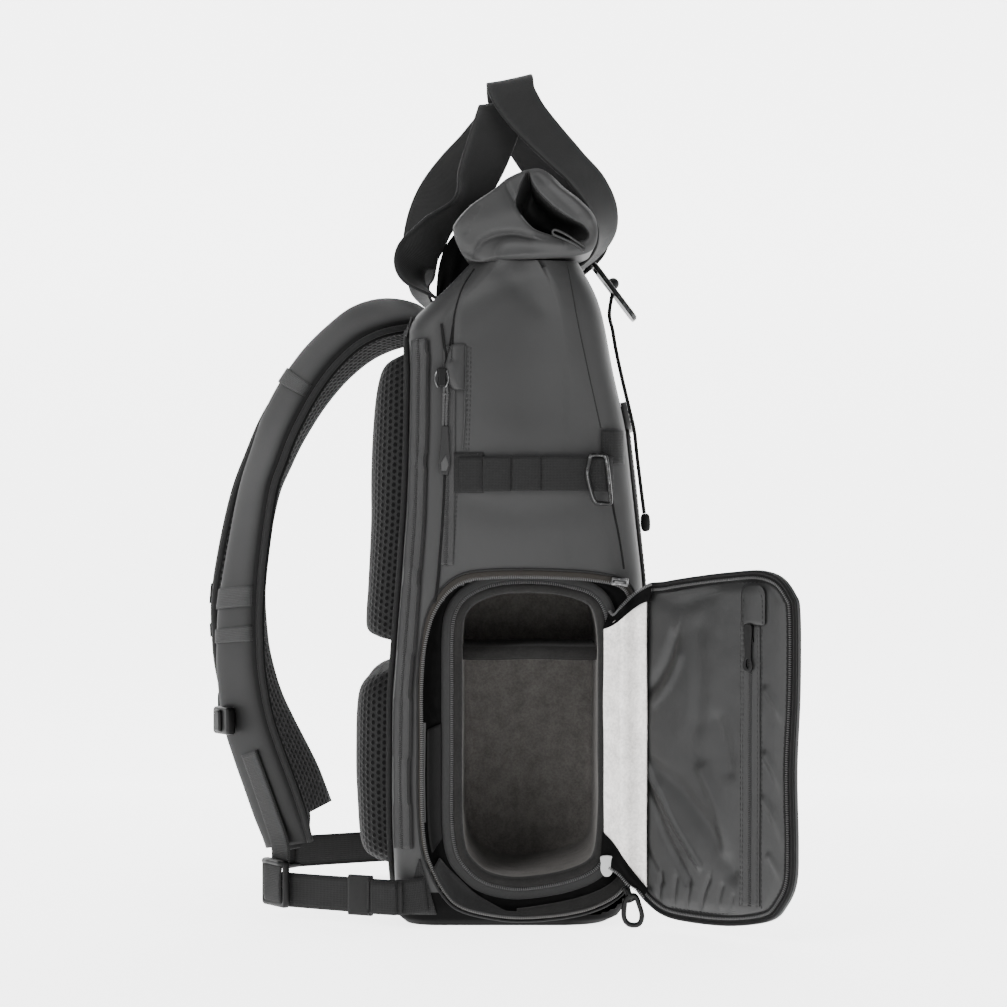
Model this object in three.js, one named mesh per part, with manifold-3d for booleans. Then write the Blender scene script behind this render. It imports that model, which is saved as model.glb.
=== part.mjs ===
// A roll-top camera backpack that stands on its base with its side flap swung open.
// Millimetres, +Z up. +X is the front of the bag, -X the harness, -Y the side with the flap.
// The origin is the centre of the base on the floor.

import * as THREE from 'three';
import { mergeVertices } from 'three/addons/utils/BufferGeometryUtils.js';
import Module from 'manifold-3d';

const wasm = await Module();
wasm.setup();

// Driving sizes of the bag.
const bagWidth = 305;
const bagDepth = 180;
const bagHeight = 474;
const bootHeight = 25;
const clothWall = 2.4;
const bootWall = 3;
const bootFloor = 8;
const frontCorner = 30;
const backCorner = 22;
const seat = 0.3;
const reach = bagWidth;
const nearSide = -bagWidth / 2;
const sideEnd = nearSide + 0.85 * frontCorner;

// Sizes of the roll on top of the bag and of the flap over the front pocket's mouth.
const rollWidth = 290;
const rollDepth = 100;
const rollHeight = 66;
const stormHeight = 20;

// Sizes of the padded back.
const backPanelMargin = 24.5;
const backPanelWidth = bagWidth - 2 * backPanelMargin;
const backPanelThickness = 4;
const backPadWidth = backPanelWidth - 24;
const backPadDepth = 25;
const backZipWidth = 14;
const tapeThickness = 1.6;

// Sizes of the harness.
const strapWidth = 66;
const strapThickness = 13;
const strapStandOff = 106;
const strapReach = bagDepth / 2 + strapStandOff;
const strapSpread = 128;
const harnessDrop = 22;
const harnessTop = bagHeight - harnessDrop;
const webbingWidth = 25;
const webbingThickness = 1.8;
const clipThickness = 8;
const clipWidth = 24;
const clipHeight = 20;
const lockHigh = 34;
const lockDeep = 5;
const lockRim = 3.5;
const lockClear = 9.5;
const lowerMiddle = 22;
const tabLow = 12;
const tabHigh = 49;
const keeperLength = 18;
const keeperWall = 2.2;
const bundleLength = 24;
const bundleThickness = 5;

// Sizes of the carrying handles.
const handleWidth = 36;
const handleThickness = 2;
const handleRise = 148;
const backHandleSpread = 82;
const frontHandleSpread = 56;

// Sizes of the side opening and of what is in it.
const openingBackMargin = 38;
const openingFrontMargin = 10;
const openingBack = -bagDepth / 2 + openingBackMargin;
const openingFront = bagDepth / 2 - openingFrontMargin;
const openingLow = 18;
const openingHigh = 240;
const openingCorner = 42;
const openingFrontCorner = 20;
const openingTape = 11;
const gussetDepth = 11;
const gussetCloth = 1.5;
const insertWall = 9;
const insertReach = 150;
const insertFloor = 12;
const dividerThickness = 10;
const liningThickness = 1.6;
const sliderHeight = 3.2;

// Sizes of the side strap and the side pocket.
const patchThickness = 1.4;
const buckleWide = 20;
const buckleHigh = 36;
const buckleBar = 3.6;
const buckleDeep = 3;
const pullLength = 54;
const pullThickness = 3;

// Sizes of the flap, measured along the flap from its hinge.
const flapLength = 143;
const flapLow = 13;
const flapHigh = 254;
const flapThickness = 5.5;
const flapCorner = 28;
const flapTurn = 45;
const flapTape = 9;
const flapCloth = 2;
const flapPocketTape = 16;
const flapPullLength = 30;

// Sizes of the front closure.
const hookLength = 54;
const hookWidth = 32;
const hookThickness = 3.2;
const beadRadius = 4.6;
const cordDiameter = 3;
const cordEndLength = 14;
const cordDrop = 170;

// Colours of the photographed materials.
const coated = new THREE.MeshStandardMaterial({ color: 0x4c4c4d, roughness: 0.62, metalness: 0 });
const bootCloth = new THREE.MeshStandardMaterial({ color: 0x1b1b1c, roughness: 0.8, metalness: 0 });
const webbing = new THREE.MeshStandardMaterial({ color: 0x363637, roughness: 0.85, metalness: 0 });
const mesh = new THREE.MeshStandardMaterial({ color: 0x2b2b2c, roughness: 0.95, metalness: 0 });
const tape = new THREE.MeshStandardMaterial({ color: 0x3f3d3e, roughness: 0.9, metalness: 0 });
const plastic = new THREE.MeshStandardMaterial({ color: 0x161617, roughness: 0.45, metalness: 0 });
const metal = new THREE.MeshStandardMaterial({ color: 0x2a2b2d, roughness: 0.35, metalness: 1 });
const felt = new THREE.MeshStandardMaterial({ color: 0x4a4540, roughness: 1, metalness: 0 });
const lightFelt = new THREE.MeshStandardMaterial({ color: 0xd2cecb, roughness: 1, metalness: 0 });
const satin = new THREE.MeshStandardMaterial({ color: 0x454546, roughness: 0.5, metalness: 0 });

const bag = new THREE.Group();

// Solids in and out of the boolean library.
function solid(geometry) {
  const bare = geometry.index ? geometry.clone() : mergeVertices(stripped(geometry), 1e-4);
  const vertProperties = new Float32Array(bare.attributes.position.array);
  const triVerts = new Uint32Array(bare.index.array);
  return new wasm.Manifold(new wasm.Mesh({ numProp: 3, vertProperties, triVerts }));
}

function stripped(geometry) {
  const bare = geometry.clone();
  bare.deleteAttribute('normal');
  bare.deleteAttribute('uv');
  return bare;
}

function mergeReady(geometry) {
  return mergeVertices(stripped(geometry), 1e-3);
}

function shape3d(manifold) {
  const result = manifold.getMesh();
  const geometry = new THREE.BufferGeometry();
  geometry.setAttribute('position', new THREE.BufferAttribute(new Float32Array(result.vertProperties), 3));
  geometry.setIndex(new THREE.BufferAttribute(new Uint32Array(result.triVerts), 1));
  return geometry;
}

function add(name, item, material, parent = bag) {
  const geometry = item instanceof THREE.BufferGeometry ? item : shape3d(item);
  const piece = new THREE.Mesh(geometry, material);
  piece.name = name;
  parent.add(piece);
  return piece;
}

// A closed skin through rings of points, with a fan over each end.
function loft(rings) {
  const count = rings[0].length;
  const positions = [];
  const faces = [];
  for (const ring of rings) {
    for (const point of ring) positions.push(point.x, point.y, point.z);
  }
  for (let row = 0; row < rings.length - 1; row += 1) {
    for (let step = 0; step < count; step += 1) {
      const here = row * count + step;
      const next = row * count + ((step + 1) % count);
      faces.push(here, next, next + count, here, next + count, here + count);
    }
  }
  for (const end of [0, rings.length - 1]) {
    const centre = new THREE.Vector3();
    for (const point of rings[end]) centre.addScaledVector(point, 1 / count);
    const hub = positions.length / 3;
    positions.push(centre.x, centre.y, centre.z);
    for (let step = 0; step < count; step += 1) {
      const here = end * count + step;
      const next = end * count + ((step + 1) % count);
      if (end === 0) faces.push(next, here, hub);
      else faces.push(here, next, hub);
    }
  }
  const geometry = new THREE.BufferGeometry();
  geometry.setAttribute('position', new THREE.BufferAttribute(new Float32Array(positions), 3));
  geometry.setIndex(faces);
  if (signedVolume(geometry) < 0) geometry.setIndex(faces.slice().reverse());
  return geometry;
}

function signedVolume(geometry) {
  const place = geometry.attributes.position;
  const index = geometry.index.array;
  const corner = [new THREE.Vector3(), new THREE.Vector3(), new THREE.Vector3()];
  let volume = 0;
  for (let face = 0; face < index.length; face += 3) {
    corner.forEach((point, side) => point.fromBufferAttribute(place, index[face + side]));
    volume += corner[0].dot(corner[1].cross(corner[2])) / 6;
  }
  return volume;
}

// Rounded rectangles, drawn as shapes. The corners run low-left, low-right, high-right, high-left.
function roundedShape(left, low, right, high, corners, steps = 5) {
  const places = [
    { x: left + corners[0], z: low + corners[0], from: 180 },
    { x: right - corners[1], z: low + corners[1], from: 270 },
    { x: right - corners[2], z: high - corners[2], from: 0 },
    { x: left + corners[3], z: high - corners[3], from: 90 },
  ];
  const points = places.flatMap((place, number) => Array.from({ length: steps + 1 }, (_, step) => {
    const angle = THREE.MathUtils.degToRad(place.from + 90 * step / steps);
    return new THREE.Vector2(
      place.x + corners[number] * Math.cos(angle), place.z + corners[number] * Math.sin(angle));
  }));
  return new THREE.Shape(points);
}

function box(left, low, right, high) {
  const outline = new THREE.Shape();
  outline.moveTo(left, low);
  outline.lineTo(right, low);
  outline.lineTo(right, high);
  outline.lineTo(left, high);
  return outline;
}

// A shape drawn in X and Z and drawn out along Y, or drawn in Y and Z and drawn out along X.
function alongY(outline, from, to) {
  const drawn = new THREE.ExtrudeGeometry(outline, { depth: to - from, bevelEnabled: false });
  return drawn.applyMatrix4(new THREE.Matrix4().makeRotationX(Math.PI / 2)).translate(0, to, 0);
}

function alongX(outline, from, to) {
  const drawn = new THREE.ExtrudeGeometry(outline, { depth: to - from, bevelEnabled: false });
  const turn = new THREE.Matrix4().makeBasis(
    new THREE.Vector3(0, 1, 0), new THREE.Vector3(0, 0, 1), new THREE.Vector3(1, 0, 0));
  return drawn.applyMatrix4(turn).translate(from, 0, 0);
}

// A band or strap swept through rows. Each row has a place, the direction across the band and
// the shares of the full width and thickness that it has there.
function sweep(rows, width, thickness, sides) {
  const rings = rows.map((row, step) => {
    const before = rows[Math.max(0, step - 1)].at;
    const after = rows[Math.min(rows.length - 1, step + 1)].at;
    const along = after.clone().sub(before).normalize();
    const across = row.across.clone().addScaledVector(along, -row.across.dot(along)).normalize();
    const proud = along.clone().cross(across).normalize();
    const wide = width * (row.wide ?? 1) / 2;
    const thick = thickness * (row.thick ?? 1) / 2;
    return sides.map(([u, v]) => row.at.clone()
      .addScaledVector(across, u * wide)
      .addScaledVector(proud, v * thick));
  });
  return loft(rings);
}

const flatSides = [[-1, -1], [1, -1], [1, 1], [-1, 1]];
const paddedSides = [[-1, 0], [-0.93, -0.62], [-0.72, -1], [0, -1.05], [0.72, -1], [0.93, -0.62],
  [1, 0], [0.93, 0.62], [0.72, 1], [0, 1.05], [-0.72, 1], [-0.93, 0.62]];

function direction(turn, tilt) {
  const t = THREE.MathUtils.degToRad(turn);
  const e = THREE.MathUtils.degToRad(tilt);
  return new THREE.Vector3(Math.cos(t) * Math.cos(e), Math.sin(t) * Math.cos(e), Math.sin(e));
}

// The bag's outer form, a row for each height. z is a share of the height, back and front are
// shares of the depth, half a share of the width. side and face say how far the side panels and
// the front stand out between their corners, as shares of the depth.
const bagRows = [
  { z: 0.000, back: -0.411, front: 0.378, half: 0.466, side: 0.000, face: 0.000 },
  { z: 0.011, back: -0.440, front: 0.430, half: 0.487, side: 0.000, face: 0.005 },
  { z: 0.030, back: -0.453, front: 0.464, half: 0.497, side: 0.002, face: 0.010 },
  { z: 0.127, back: -0.467, front: 0.508, half: 0.500, side: 0.006, face: 0.022 },
  { z: 0.222, back: -0.472, front: 0.520, half: 0.500, side: 0.008, face: 0.028 },
  { z: 0.348, back: -0.467, front: 0.530, half: 0.500, side: 0.008, face: 0.030 },
  { z: 0.511, back: -0.434, front: 0.526, half: 0.500, side: 0.012, face: 0.030 },
  { z: 0.612, back: -0.414, front: 0.497, half: 0.498, side: 0.020, face: 0.030 },
  { z: 0.751, back: -0.402, front: 0.460, half: 0.494, side: 0.014, face: 0.028 },
  { z: 0.844, back: -0.400, front: 0.408, half: 0.489, side: -0.006, face: 0.024 },
  { z: 0.907, back: -0.405, front: 0.378, half: 0.482, side: -0.022, face: 0.020 },
  { z: 0.930, back: -0.340, front: 0.366, half: 0.478, side: -0.028, face: 0.014 },
  { z: 0.960, back: -0.255, front: 0.336, half: 0.470, side: -0.030, face: 0.008 },
  { z: 1.000, back: -0.155, front: 0.275, half: 0.462, side: -0.020, face: 0.000 },
];

const sideSteps = [0.25, 0.5, 0.75];
const cornerSteps = 4;

function bagRing(row, height, grow) {
  const back = row.back * bagDepth;
  const front = row.front * bagDepth;
  const half = row.half * bagWidth;
  const corners = [
    { x: front - frontCorner, y: -half + frontCorner, radius: frontCorner + grow, from: -90 },
    { x: front - frontCorner, y: half - frontCorner, radius: frontCorner + grow, from: 0 },
    { x: back + backCorner, y: half - backCorner, radius: backCorner + grow, from: 90 },
    { x: back + backCorner, y: -half + backCorner, radius: backCorner + grow, from: 180 },
  ];
  const stands = [row.face, row.side, 0, row.side];
  const ring = [];
  corners.forEach((corner, number) => {
    for (let step = 0; step <= cornerSteps; step += 1) {
      const angle = THREE.MathUtils.degToRad(corner.from + 90 * step / cornerSteps);
      ring.push(new THREE.Vector3(
        corner.x + corner.radius * Math.cos(angle), corner.y + corner.radius * Math.sin(angle), height));
    }
    const next = corners[(number + 1) % corners.length];
    const outward = THREE.MathUtils.degToRad(corner.from + 90);
    const start = ring[ring.length - 1];
    const end = new THREE.Vector3(
      next.x + next.radius * Math.cos(outward), next.y + next.radius * Math.sin(outward), height);
    for (const share of sideSteps) {
      const stand = stands[number] * bagDepth * 4 * share * (1 - share);
      ring.push(start.clone().lerp(end, share)
        .add(new THREE.Vector3(Math.cos(outward) * stand, Math.sin(outward) * stand, 0)));
    }
  });
  return ring;
}

// The bag's form grown outwards, or shrunk for its hollow, between two heights.
function bagForm(grow, low = -Math.max(grow, 0), high = bagHeight + grow) {
  const rows = bagRows.filter((row) => row.z * bagHeight > low + 1 && row.z * bagHeight < high - 1);
  const rings = [bagRing(bagRows[0], low, grow)];
  if (low > 0) rings[0] = bagRing(between(low / bagHeight), low, grow);
  for (const row of rows) rings.push(bagRing(row, row.z * bagHeight, grow));
  rings.push(bagRing(between(Math.min(1, high / bagHeight)), high, grow));
  return solid(loft(rings));
}

// The bag's row at any share of its height.
function between(share) {
  const upper = Math.max(1, bagRows.findIndex((row) => row.z >= share));
  const above = bagRows[upper];
  const below = bagRows[upper - 1];
  const part = (share - below.z) / (above.z - below.z);
  const mixed = {};
  for (const key of Object.keys(above)) mixed[key] = below[key] + (above[key] - below[key]) * part;
  return mixed;
}

function skin(gap, thickness) {
  return bagForm(gap + thickness).subtract(bagForm(gap));
}

function openingShape(grow) {
  const left = openingCorner + grow;
  const right = openingFrontCorner + grow;
  return roundedShape(openingBack - grow, openingLow - grow, openingFront + grow, openingHigh + grow,
    [left, right, right, left]);
}

const openingCut = solid(alongY(openingShape(0), -reach, sideEnd));
const outerForm = bagForm(0);
const seatForm = bagForm(seat);

// The shell, the boot under it and the roll over it.
const belowSplit = solid(alongY(box(-reach, -reach, reach, bootHeight), -reach, reach));
const aboveSplit = solid(alongY(box(-reach, bootHeight + seat, reach, 2 * bagHeight), -reach, reach));
const shellHollow = bagForm(-clothWall, bootFloor, bagHeight - clothWall);
const bootHollow = bagForm(-bootWall, bootFloor, bagHeight - clothWall);
add('main_shell', outerForm.subtract(shellHollow).intersect(aboveSplit).subtract(openingCut), coated);
add('base_boot', outerForm.subtract(bootHollow).intersect(belowSplit).subtract(openingCut), bootCloth);

// The roll's outer line and its hollow, seen from the side, as shares of its depth and height.
// The line starts where the roll meets the back of the bag's top edge.
const rollLine = [[-0.20, -0.04], [-0.39, 0.16], [-0.41, 0.31], [-0.38, 0.41], [-0.28, 0.58], [-0.12, 0.75],
  [0.03, 0.92], [0.13, 0.985], [0.21, 0.97], [0.31, 0.89], [0.40, 0.76], [0.50, 0.63], [0.60, 0.45],
  [0.585, 0.26], [0.52, 0.14], [0.44, -0.04]];
const rollHollow = [[0.13, 0.86], [0.07, 0.62], [0.13, 0.40], [0.29, 0.25], [0.50, 0.20], [0.545, 0.33],
  [0.42, 0.48], [0.27, 0.66], [0.19, 0.80]];
// How far the roll sinks and thins between its ends: a row for each place along its width.
const rollRows = [
  { y: -0.500, size: 1.00, hollow: 1.00 },
  { y: -0.440, size: 0.98, hollow: 0.90 },
  { y: -0.250, size: 0.94, hollow: 0.75 },
  { y: 0.000, size: 0.92, hollow: 0.70 },
  { y: 0.250, size: 0.94, hollow: 0.75 },
  { y: 0.440, size: 0.98, hollow: 0.90 },
  { y: 0.500, size: 1.00, hollow: 1.00 },
];
const rollMiddle = [0.3, 0.5];

function rollRing(line, row, size, past = 1) {
  return line.map(([x, z]) => new THREE.Vector3(
    (rollMiddle[0] + (x - rollMiddle[0]) * size) * rollDepth,
    row.y * rollWidth * past,
    bagHeight + (rollMiddle[1] + (z - rollMiddle[1]) * size) * rollHeight * row.size));
}

const rollOuter = solid(loft(rollRows.map((row) => rollRing(rollLine, row, 1))));
const rollInner = solid(loft(rollRows.map((row) => rollRing(rollHollow, row, row.hollow, 1.02))));
const rollRoom = solid(loft(rollRows.map((row) => rollRing(rollLine, row, 1 + 4 * seat / rollDepth))));
const rollTop = rollOuter.subtract(rollInner).subtract(seatForm);

// The front pocket and the storm flap over its mouth, both laid on the shell.
const pocketHalf = 0.375 * bagWidth;
const pocketHigh = 0.745 * bagHeight;
const pocketOutline = roundedShape(-pocketHalf, 0.07 * bagHeight, pocketHalf, pocketHigh, [22, 22, 8, 8]);
const stormHigh = pocketHigh + stormHeight;
const stormOutline = roundedShape(-pocketHalf, pocketHigh + seat, pocketHalf, stormHigh, [5, 5, 5, 5]);
const onFront = (outline) => solid(alongX(outline, 0.2 * bagDepth, bagDepth));
add('front_pocket', skin(seat, clothWall).intersect(onFront(pocketOutline)), coated);
add('storm_flap', skin(seat, clothWall * 1.8).intersect(onFront(stormOutline)), coated);

// The back panel and the clamshell zip that runs round it.
const panelHalf = backPanelWidth / 2;
const panelOutline = roundedShape(-panelHalf, 0.05 * bagHeight, panelHalf, 0.9 * bagHeight, [30, 30, 30, 30]);
const panelSlab = solid(alongX(panelOutline, -bagDepth, -0.33 * bagDepth));
add('back_panel', skin(seat, backPanelThickness).intersect(panelSlab), mesh);

function backZipOutline() {
  const low = 0.110 * bagHeight;
  const high = 0.902 * bagHeight;
  const rows = bagRows.filter((row) => row.z * bagHeight > low && row.z * bagHeight < high);
  const line = [between(low / bagHeight), ...rows, between(high / bagHeight)]
    .map((row) => [row.back * bagDepth + 1, row.z * bagHeight]);
  const top = line[line.length - 1];
  const points = [...line, [top[0] - backZipWidth, top[1]], [top[0] - backZipWidth, top[1] + backZipWidth],
    [top[0] + backZipWidth, top[1] + backZipWidth]];
  for (const point of line.slice().reverse()) points.push([point[0] + backZipWidth, point[1]]);
  return new THREE.Shape(points.map(([x, z]) => new THREE.Vector2(x, z)));
}
const backZip = skin(seat, tapeThickness).intersect(solid(alongY(backZipOutline(), -reach, reach)));

// The two back pads: a row for each height, with shares of the pad's width and depth.
const upperPadRows = [
  { z: 0.425, wide: 0.74, deep: 0.35 }, { z: 0.440, wide: 0.86, deep: 0.80 },
  { z: 0.500, wide: 0.94, deep: 0.86 }, { z: 0.590, wide: 0.97, deep: 0.92 },
  { z: 0.680, wide: 0.98, deep: 0.98 }, { z: 0.760, wide: 0.95, deep: 0.96 },
  { z: 0.820, wide: 0.86, deep: 0.82 }, { z: 0.862, wide: 0.70, deep: 0.40 },
];
const lumbarPadRows = [
  { z: 0.082, wide: 0.78, deep: 0.45 }, { z: 0.110, wide: 0.92, deep: 0.84 },
  { z: 0.180, wide: 0.98, deep: 0.92 }, { z: 0.260, wide: 1.00, deep: 0.96 },
  { z: 0.320, wide: 0.99, deep: 0.96 }, { z: 0.358, wide: 0.94, deep: 0.84 },
  { z: 0.376, wide: 0.80, deep: 0.40 },
];
const padLine = [[-1, 0], [-0.98, 0.55], [-0.86, 0.90], [-0.5, 1], [-0.16, 0.97], [0, 0.82], [0.16, 0.97],
  [0.5, 1], [0.86, 0.90], [0.98, 0.55], [1, 0], [0.5, -0.4], [-0.5, -0.4]];

function backPad(rows) {
  const rings = rows.map((row) => {
    const face = between(row.z).back * bagDepth - backPanelThickness;
    return padLine.map(([across, out]) => new THREE.Vector3(
      face - out * row.deep * backPadDepth, across * row.wide * backPadWidth / 2, row.z * bagHeight));
  });
  return solid(loft(rings)).subtract(bagForm(2 * seat + backPanelThickness));
}
add('back_pad_upper', backPad(upperPadRows), mesh);
add('back_pad_lumbar', backPad(lumbarPadRows), mesh);

// The carrying handles, a row for each bend. x is a share of the bag's depth, y of half the
// distance between the legs, z of the rise over the bag. turn and tilt aim the webbing's width.
const backHandleNear = [
  { x: -0.22, y: -1.00, z: -0.21, turn: 90, tilt: 0 },
  { x: -0.33, y: -1.02, z: -0.13, turn: 82, tilt: 0 },
  { x: -0.39, y: -1.04, z: -0.04, turn: 55, tilt: 0 },
  { x: -0.38, y: -1.04, z: 0.05, turn: 30, tilt: 0 },
  { x: -0.31, y: -1.02, z: 0.16, turn: 45, tilt: 0 },
  { x: -0.22, y: -0.92, z: 0.28, turn: 70, tilt: 0 },
  { x: -0.16, y: -0.78, z: 0.40, turn: 50, tilt: 0 },
  { x: -0.11, y: -0.62, z: 0.54, turn: 36, tilt: 0 },
  { x: -0.07, y: -0.46, z: 0.68, turn: 26, tilt: 0 },
  { x: -0.04, y: -0.33, z: 0.80, turn: 14, tilt: 0 },
  { x: -0.03, y: -0.16, z: 0.88, turn: 6, tilt: 0 },
];
const backHandleFar = [
  { x: -0.03, y: 0.16, z: 0.88, turn: -2, tilt: 0 },
  { x: -0.06, y: 0.36, z: 0.80, turn: -8, tilt: 0 },
  { x: -0.12, y: 0.52, z: 0.71, turn: -10, tilt: 0 },
  { x: -0.21, y: 0.70, z: 0.60, turn: -12, tilt: 0 },
  { x: -0.30, y: 0.84, z: 0.47, turn: -16, tilt: 0 },
  { x: -0.36, y: 0.95, z: 0.33, turn: -24, tilt: 0 },
  { x: -0.39, y: 1.02, z: 0.17, turn: -34, tilt: 0 },
  { x: -0.39, y: 1.04, z: 0.04, turn: -50, tilt: 0 },
  { x: -0.38, y: 1.03, z: -0.05, turn: -68, tilt: 0 },
  { x: -0.32, y: 1.01, z: -0.14, turn: -84, tilt: 0 },
  { x: -0.21, y: 1.00, z: -0.22, turn: -90, tilt: 0 },
];
const frontHandleNear = [
  { x: 0.20, y: -0.95, z: -0.06, turn: 90, tilt: 0 },
  { x: 0.34, y: -0.96, z: 0.06, turn: 84, tilt: 0 },
  { x: 0.395, y: -0.97, z: 0.19, turn: 66, tilt: 0 },
  { x: 0.38, y: -0.96, z: 0.32, turn: 48, tilt: 0 },
  { x: 0.32, y: -0.90, z: 0.45, turn: 34, tilt: 0 },
  { x: 0.23, y: -0.82, z: 0.57, turn: 28, tilt: 0 },
  { x: 0.14, y: -0.74, z: 0.69, turn: 22, tilt: 0 },
  { x: 0.06, y: -0.64, z: 0.81, turn: 16, tilt: 0 },
  { x: 0.01, y: -0.50, z: 0.92, turn: 8, tilt: 0 },
  { x: 0.00, y: -0.26, z: 0.99, turn: 4, tilt: 0 },
];
const frontHandleFar = [
  { x: 0.00, y: 0.26, z: 0.99, turn: -2, tilt: 0 },
  { x: 0.01, y: 0.50, z: 0.91, turn: -6, tilt: 0 },
  { x: 0.05, y: 0.68, z: 0.79, turn: -10, tilt: 0 },
  { x: 0.11, y: 0.80, z: 0.67, turn: -14, tilt: 0 },
  { x: 0.19, y: 0.88, z: 0.54, turn: -20, tilt: 0 },
  { x: 0.28, y: 0.94, z: 0.42, turn: -30, tilt: 0 },
  { x: 0.35, y: 0.98, z: 0.29, turn: -46, tilt: 0 },
  { x: 0.38, y: 1.00, z: 0.17, turn: -66, tilt: 0 },
  { x: 0.33, y: 1.00, z: 0.05, turn: -84, tilt: 0 },
  { x: 0.20, y: 0.99, z: -0.07, turn: -90, tilt: 0 },
];

function handle(rows, spread, room = 0) {
  const sweeps = rows.map((row) => ({
    at: new THREE.Vector3(row.x * bagDepth, row.y * spread, bagHeight + row.z * handleRise),
    across: direction(row.turn, row.tilt),
  }));
  return solid(sweep(sweeps, handleWidth + 2 * room, handleThickness + 2 * room, flatSides));
}
const backHandleRows = [...backHandleNear, ...backHandleFar];
const frontHandleRows = [...frontHandleNear, ...frontHandleFar];
const backHandle = handle(backHandleRows, backHandleSpread).subtract(seatForm);
const frontHandle = handle(frontHandleRows, frontHandleSpread).subtract(seatForm);
const handleRoom = handle(backHandleRows, backHandleSpread, seat)
  .add(handle(frontHandleRows, frontHandleSpread, seat));
add('roll_top', rollTop.subtract(handleRoom), coated);
add('back_handle', backHandle, webbing);
add('front_handle', frontHandle, webbing);
add('back_zip', backZip, tape);

// The shoulder straps, a row for each bend. x is a share of the reach behind the bag, z of the
// height of the harness, y of the spread of the straps. lean and rise move the far edge.
const strapRows = [
  { x: 0.270, y: 0.36, z: 0.948, lean: -0.25, rise: 0.22 },
  { x: 0.335, y: 0.37, z: 0.972, lean: -0.28, rise: 0.28 },
  { x: 0.460, y: 0.43, z: 0.972, lean: -0.22, rise: 0.38 },
  { x: 0.582, y: 0.50, z: 0.950, lean: -0.21, rise: 0.38 },
  { x: 0.694, y: 0.53, z: 0.908, lean: -0.30, rise: 0.32 },
  { x: 0.783, y: 0.56, z: 0.856, lean: -0.34, rise: 0.30 },
  { x: 0.852, y: 0.60, z: 0.798, lean: -0.38, rise: 0.25 },
  { x: 0.900, y: 0.63, z: 0.740, lean: -0.40, rise: 0.14 },
  { x: 0.941, y: 0.66, z: 0.681, lean: -0.43, rise: 0.03 },
  { x: 0.980, y: 0.70, z: 0.574, lean: -0.48, rise: 0.00 },
  { x: 0.998, y: 0.73, z: 0.502, lean: -0.54, rise: 0.00 },
  { x: 1.000, y: 0.75, z: 0.445, lean: -0.57, rise: 0.00 },
  { x: 0.995, y: 0.76, z: 0.389, lean: -0.60, rise: -0.08 },
  { x: 0.970, y: 0.77, z: 0.319, lean: -0.63, rise: -0.14 },
  { x: 0.931, y: 0.78, z: 0.265, lean: -0.66, rise: -0.10 },
  { x: 0.888, y: 0.79, z: 0.214, lean: -0.67, rise: -0.13 },
  { x: 0.849, y: 0.80, z: 0.166, lean: -0.68, rise: -0.18 },
  { x: 0.815, y: 0.80, z: 0.118, lean: -0.70, rise: -0.24 },
];
// The far strap hangs a little further back in its middle than the near one.
const strapSwing = { left: 0, right: 0.10 };

function strapPlace(row, side) {
  const swing = 1 + strapSwing[side] * Math.sin(Math.PI * Math.min(1, Math.max(0, (1 - row.z) * 1.1)));
  const sign = side === 'left' ? -1 : 1;
  return {
    at: new THREE.Vector3(-row.x * strapReach * swing, sign * row.y * strapSpread, row.z * harnessTop),
    across: new THREE.Vector3(row.lean, -sign, row.rise).normalize(),
  };
}

function strapForm(side, room = 0) {
  const rows = strapRows.map((row, step) => ({
    ...strapPlace(row, side),
    wide: step === strapRows.length - 1 ? 0.86 : 1,
    thick: step === 0 || step === strapRows.length - 1 ? 0.6 : 1,
  }));
  return solid(sweep(rows, strapWidth + 2 * room, strapThickness + 2 * room, paddedSides));
}
for (const side of ['left', 'right']) {
  const room = bagForm(2 * seat + backPanelThickness).intersect(panelSlab).add(handleRoom);
  const strap = strapForm(side).subtract(bagForm(2 * seat + tapeThickness));
  add(`shoulder_strap_${side}`, strap.subtract(room), coated);
}

// The flap group stands at the bag's front corner and turns out from it.
const hingeAngle = THREE.MathUtils.degToRad(-35);
const hingeRow = between(0.35);
const hingeRadius = frontCorner + 2 * seat + tapeThickness;
const hinge = new THREE.Vector3(
  hingeRow.front * bagDepth - frontCorner + hingeRadius * Math.cos(hingeAngle),
  -hingeRow.half * bagWidth + frontCorner + hingeRadius * Math.sin(hingeAngle), 0);
const flap = new THREE.Group();
flap.position.copy(hinge);
flap.rotation.z = THREE.MathUtils.degToRad(-flapTurn);
bag.add(flap);

function flapShape(inset) {
  const corner = flapCorner - inset;
  return roundedShape(inset, flapLow + inset, flapLength - inset, flapHigh - inset,
    [corner * 0.8, corner, corner, corner * 0.8]);
}

add('side_flap', alongY(flapShape(0), 0, flapThickness), coated, flap);
const flapBand = solid(alongY(flapShape(0), -seat - tapeThickness, -seat));
add('flap_zip', flapBand.subtract(solid(alongY(flapShape(flapTape), -2 * flapTape, flapTape))), tape, flap);
add('flap_pocket', alongY(flapShape(flapTape + seat), -seat - flapCloth, -seat), satin, flap);
const flapFace = -2 * seat - flapCloth;
const zipLine = 0.74 * flapLength;
const zipHigh = flapHigh - 37;
const zipHalf = flapPocketTape / 2;
const flapZip = box(zipLine - zipHalf, flapLow + 14, zipLine + zipHalf, zipHigh);
add('flap_pocket_zip', alongY(flapZip, flapFace - tapeThickness, flapFace), tape, flap);
const flapGarage = roundedShape(zipLine - zipHalf - 1, zipHigh + seat, zipLine + zipHalf + 1, flapHigh - 10,
  [3, 3, 6, 6], 3);
add('flap_zip_garage', alongY(flapGarage, flapFace - 2 * tapeThickness, flapFace), satin, flap);
const flapPull = roundedShape(zipLine - 5, zipHigh - 2 - flapPullLength, zipLine + 5, zipHigh - 2, [4, 4, 2, 2], 3);
const pullFace = flapFace - tapeThickness - seat;
add('flap_zip_slider', alongY(flapPull, pullFace - sliderHeight, pullFace), plastic, flap);

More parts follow.
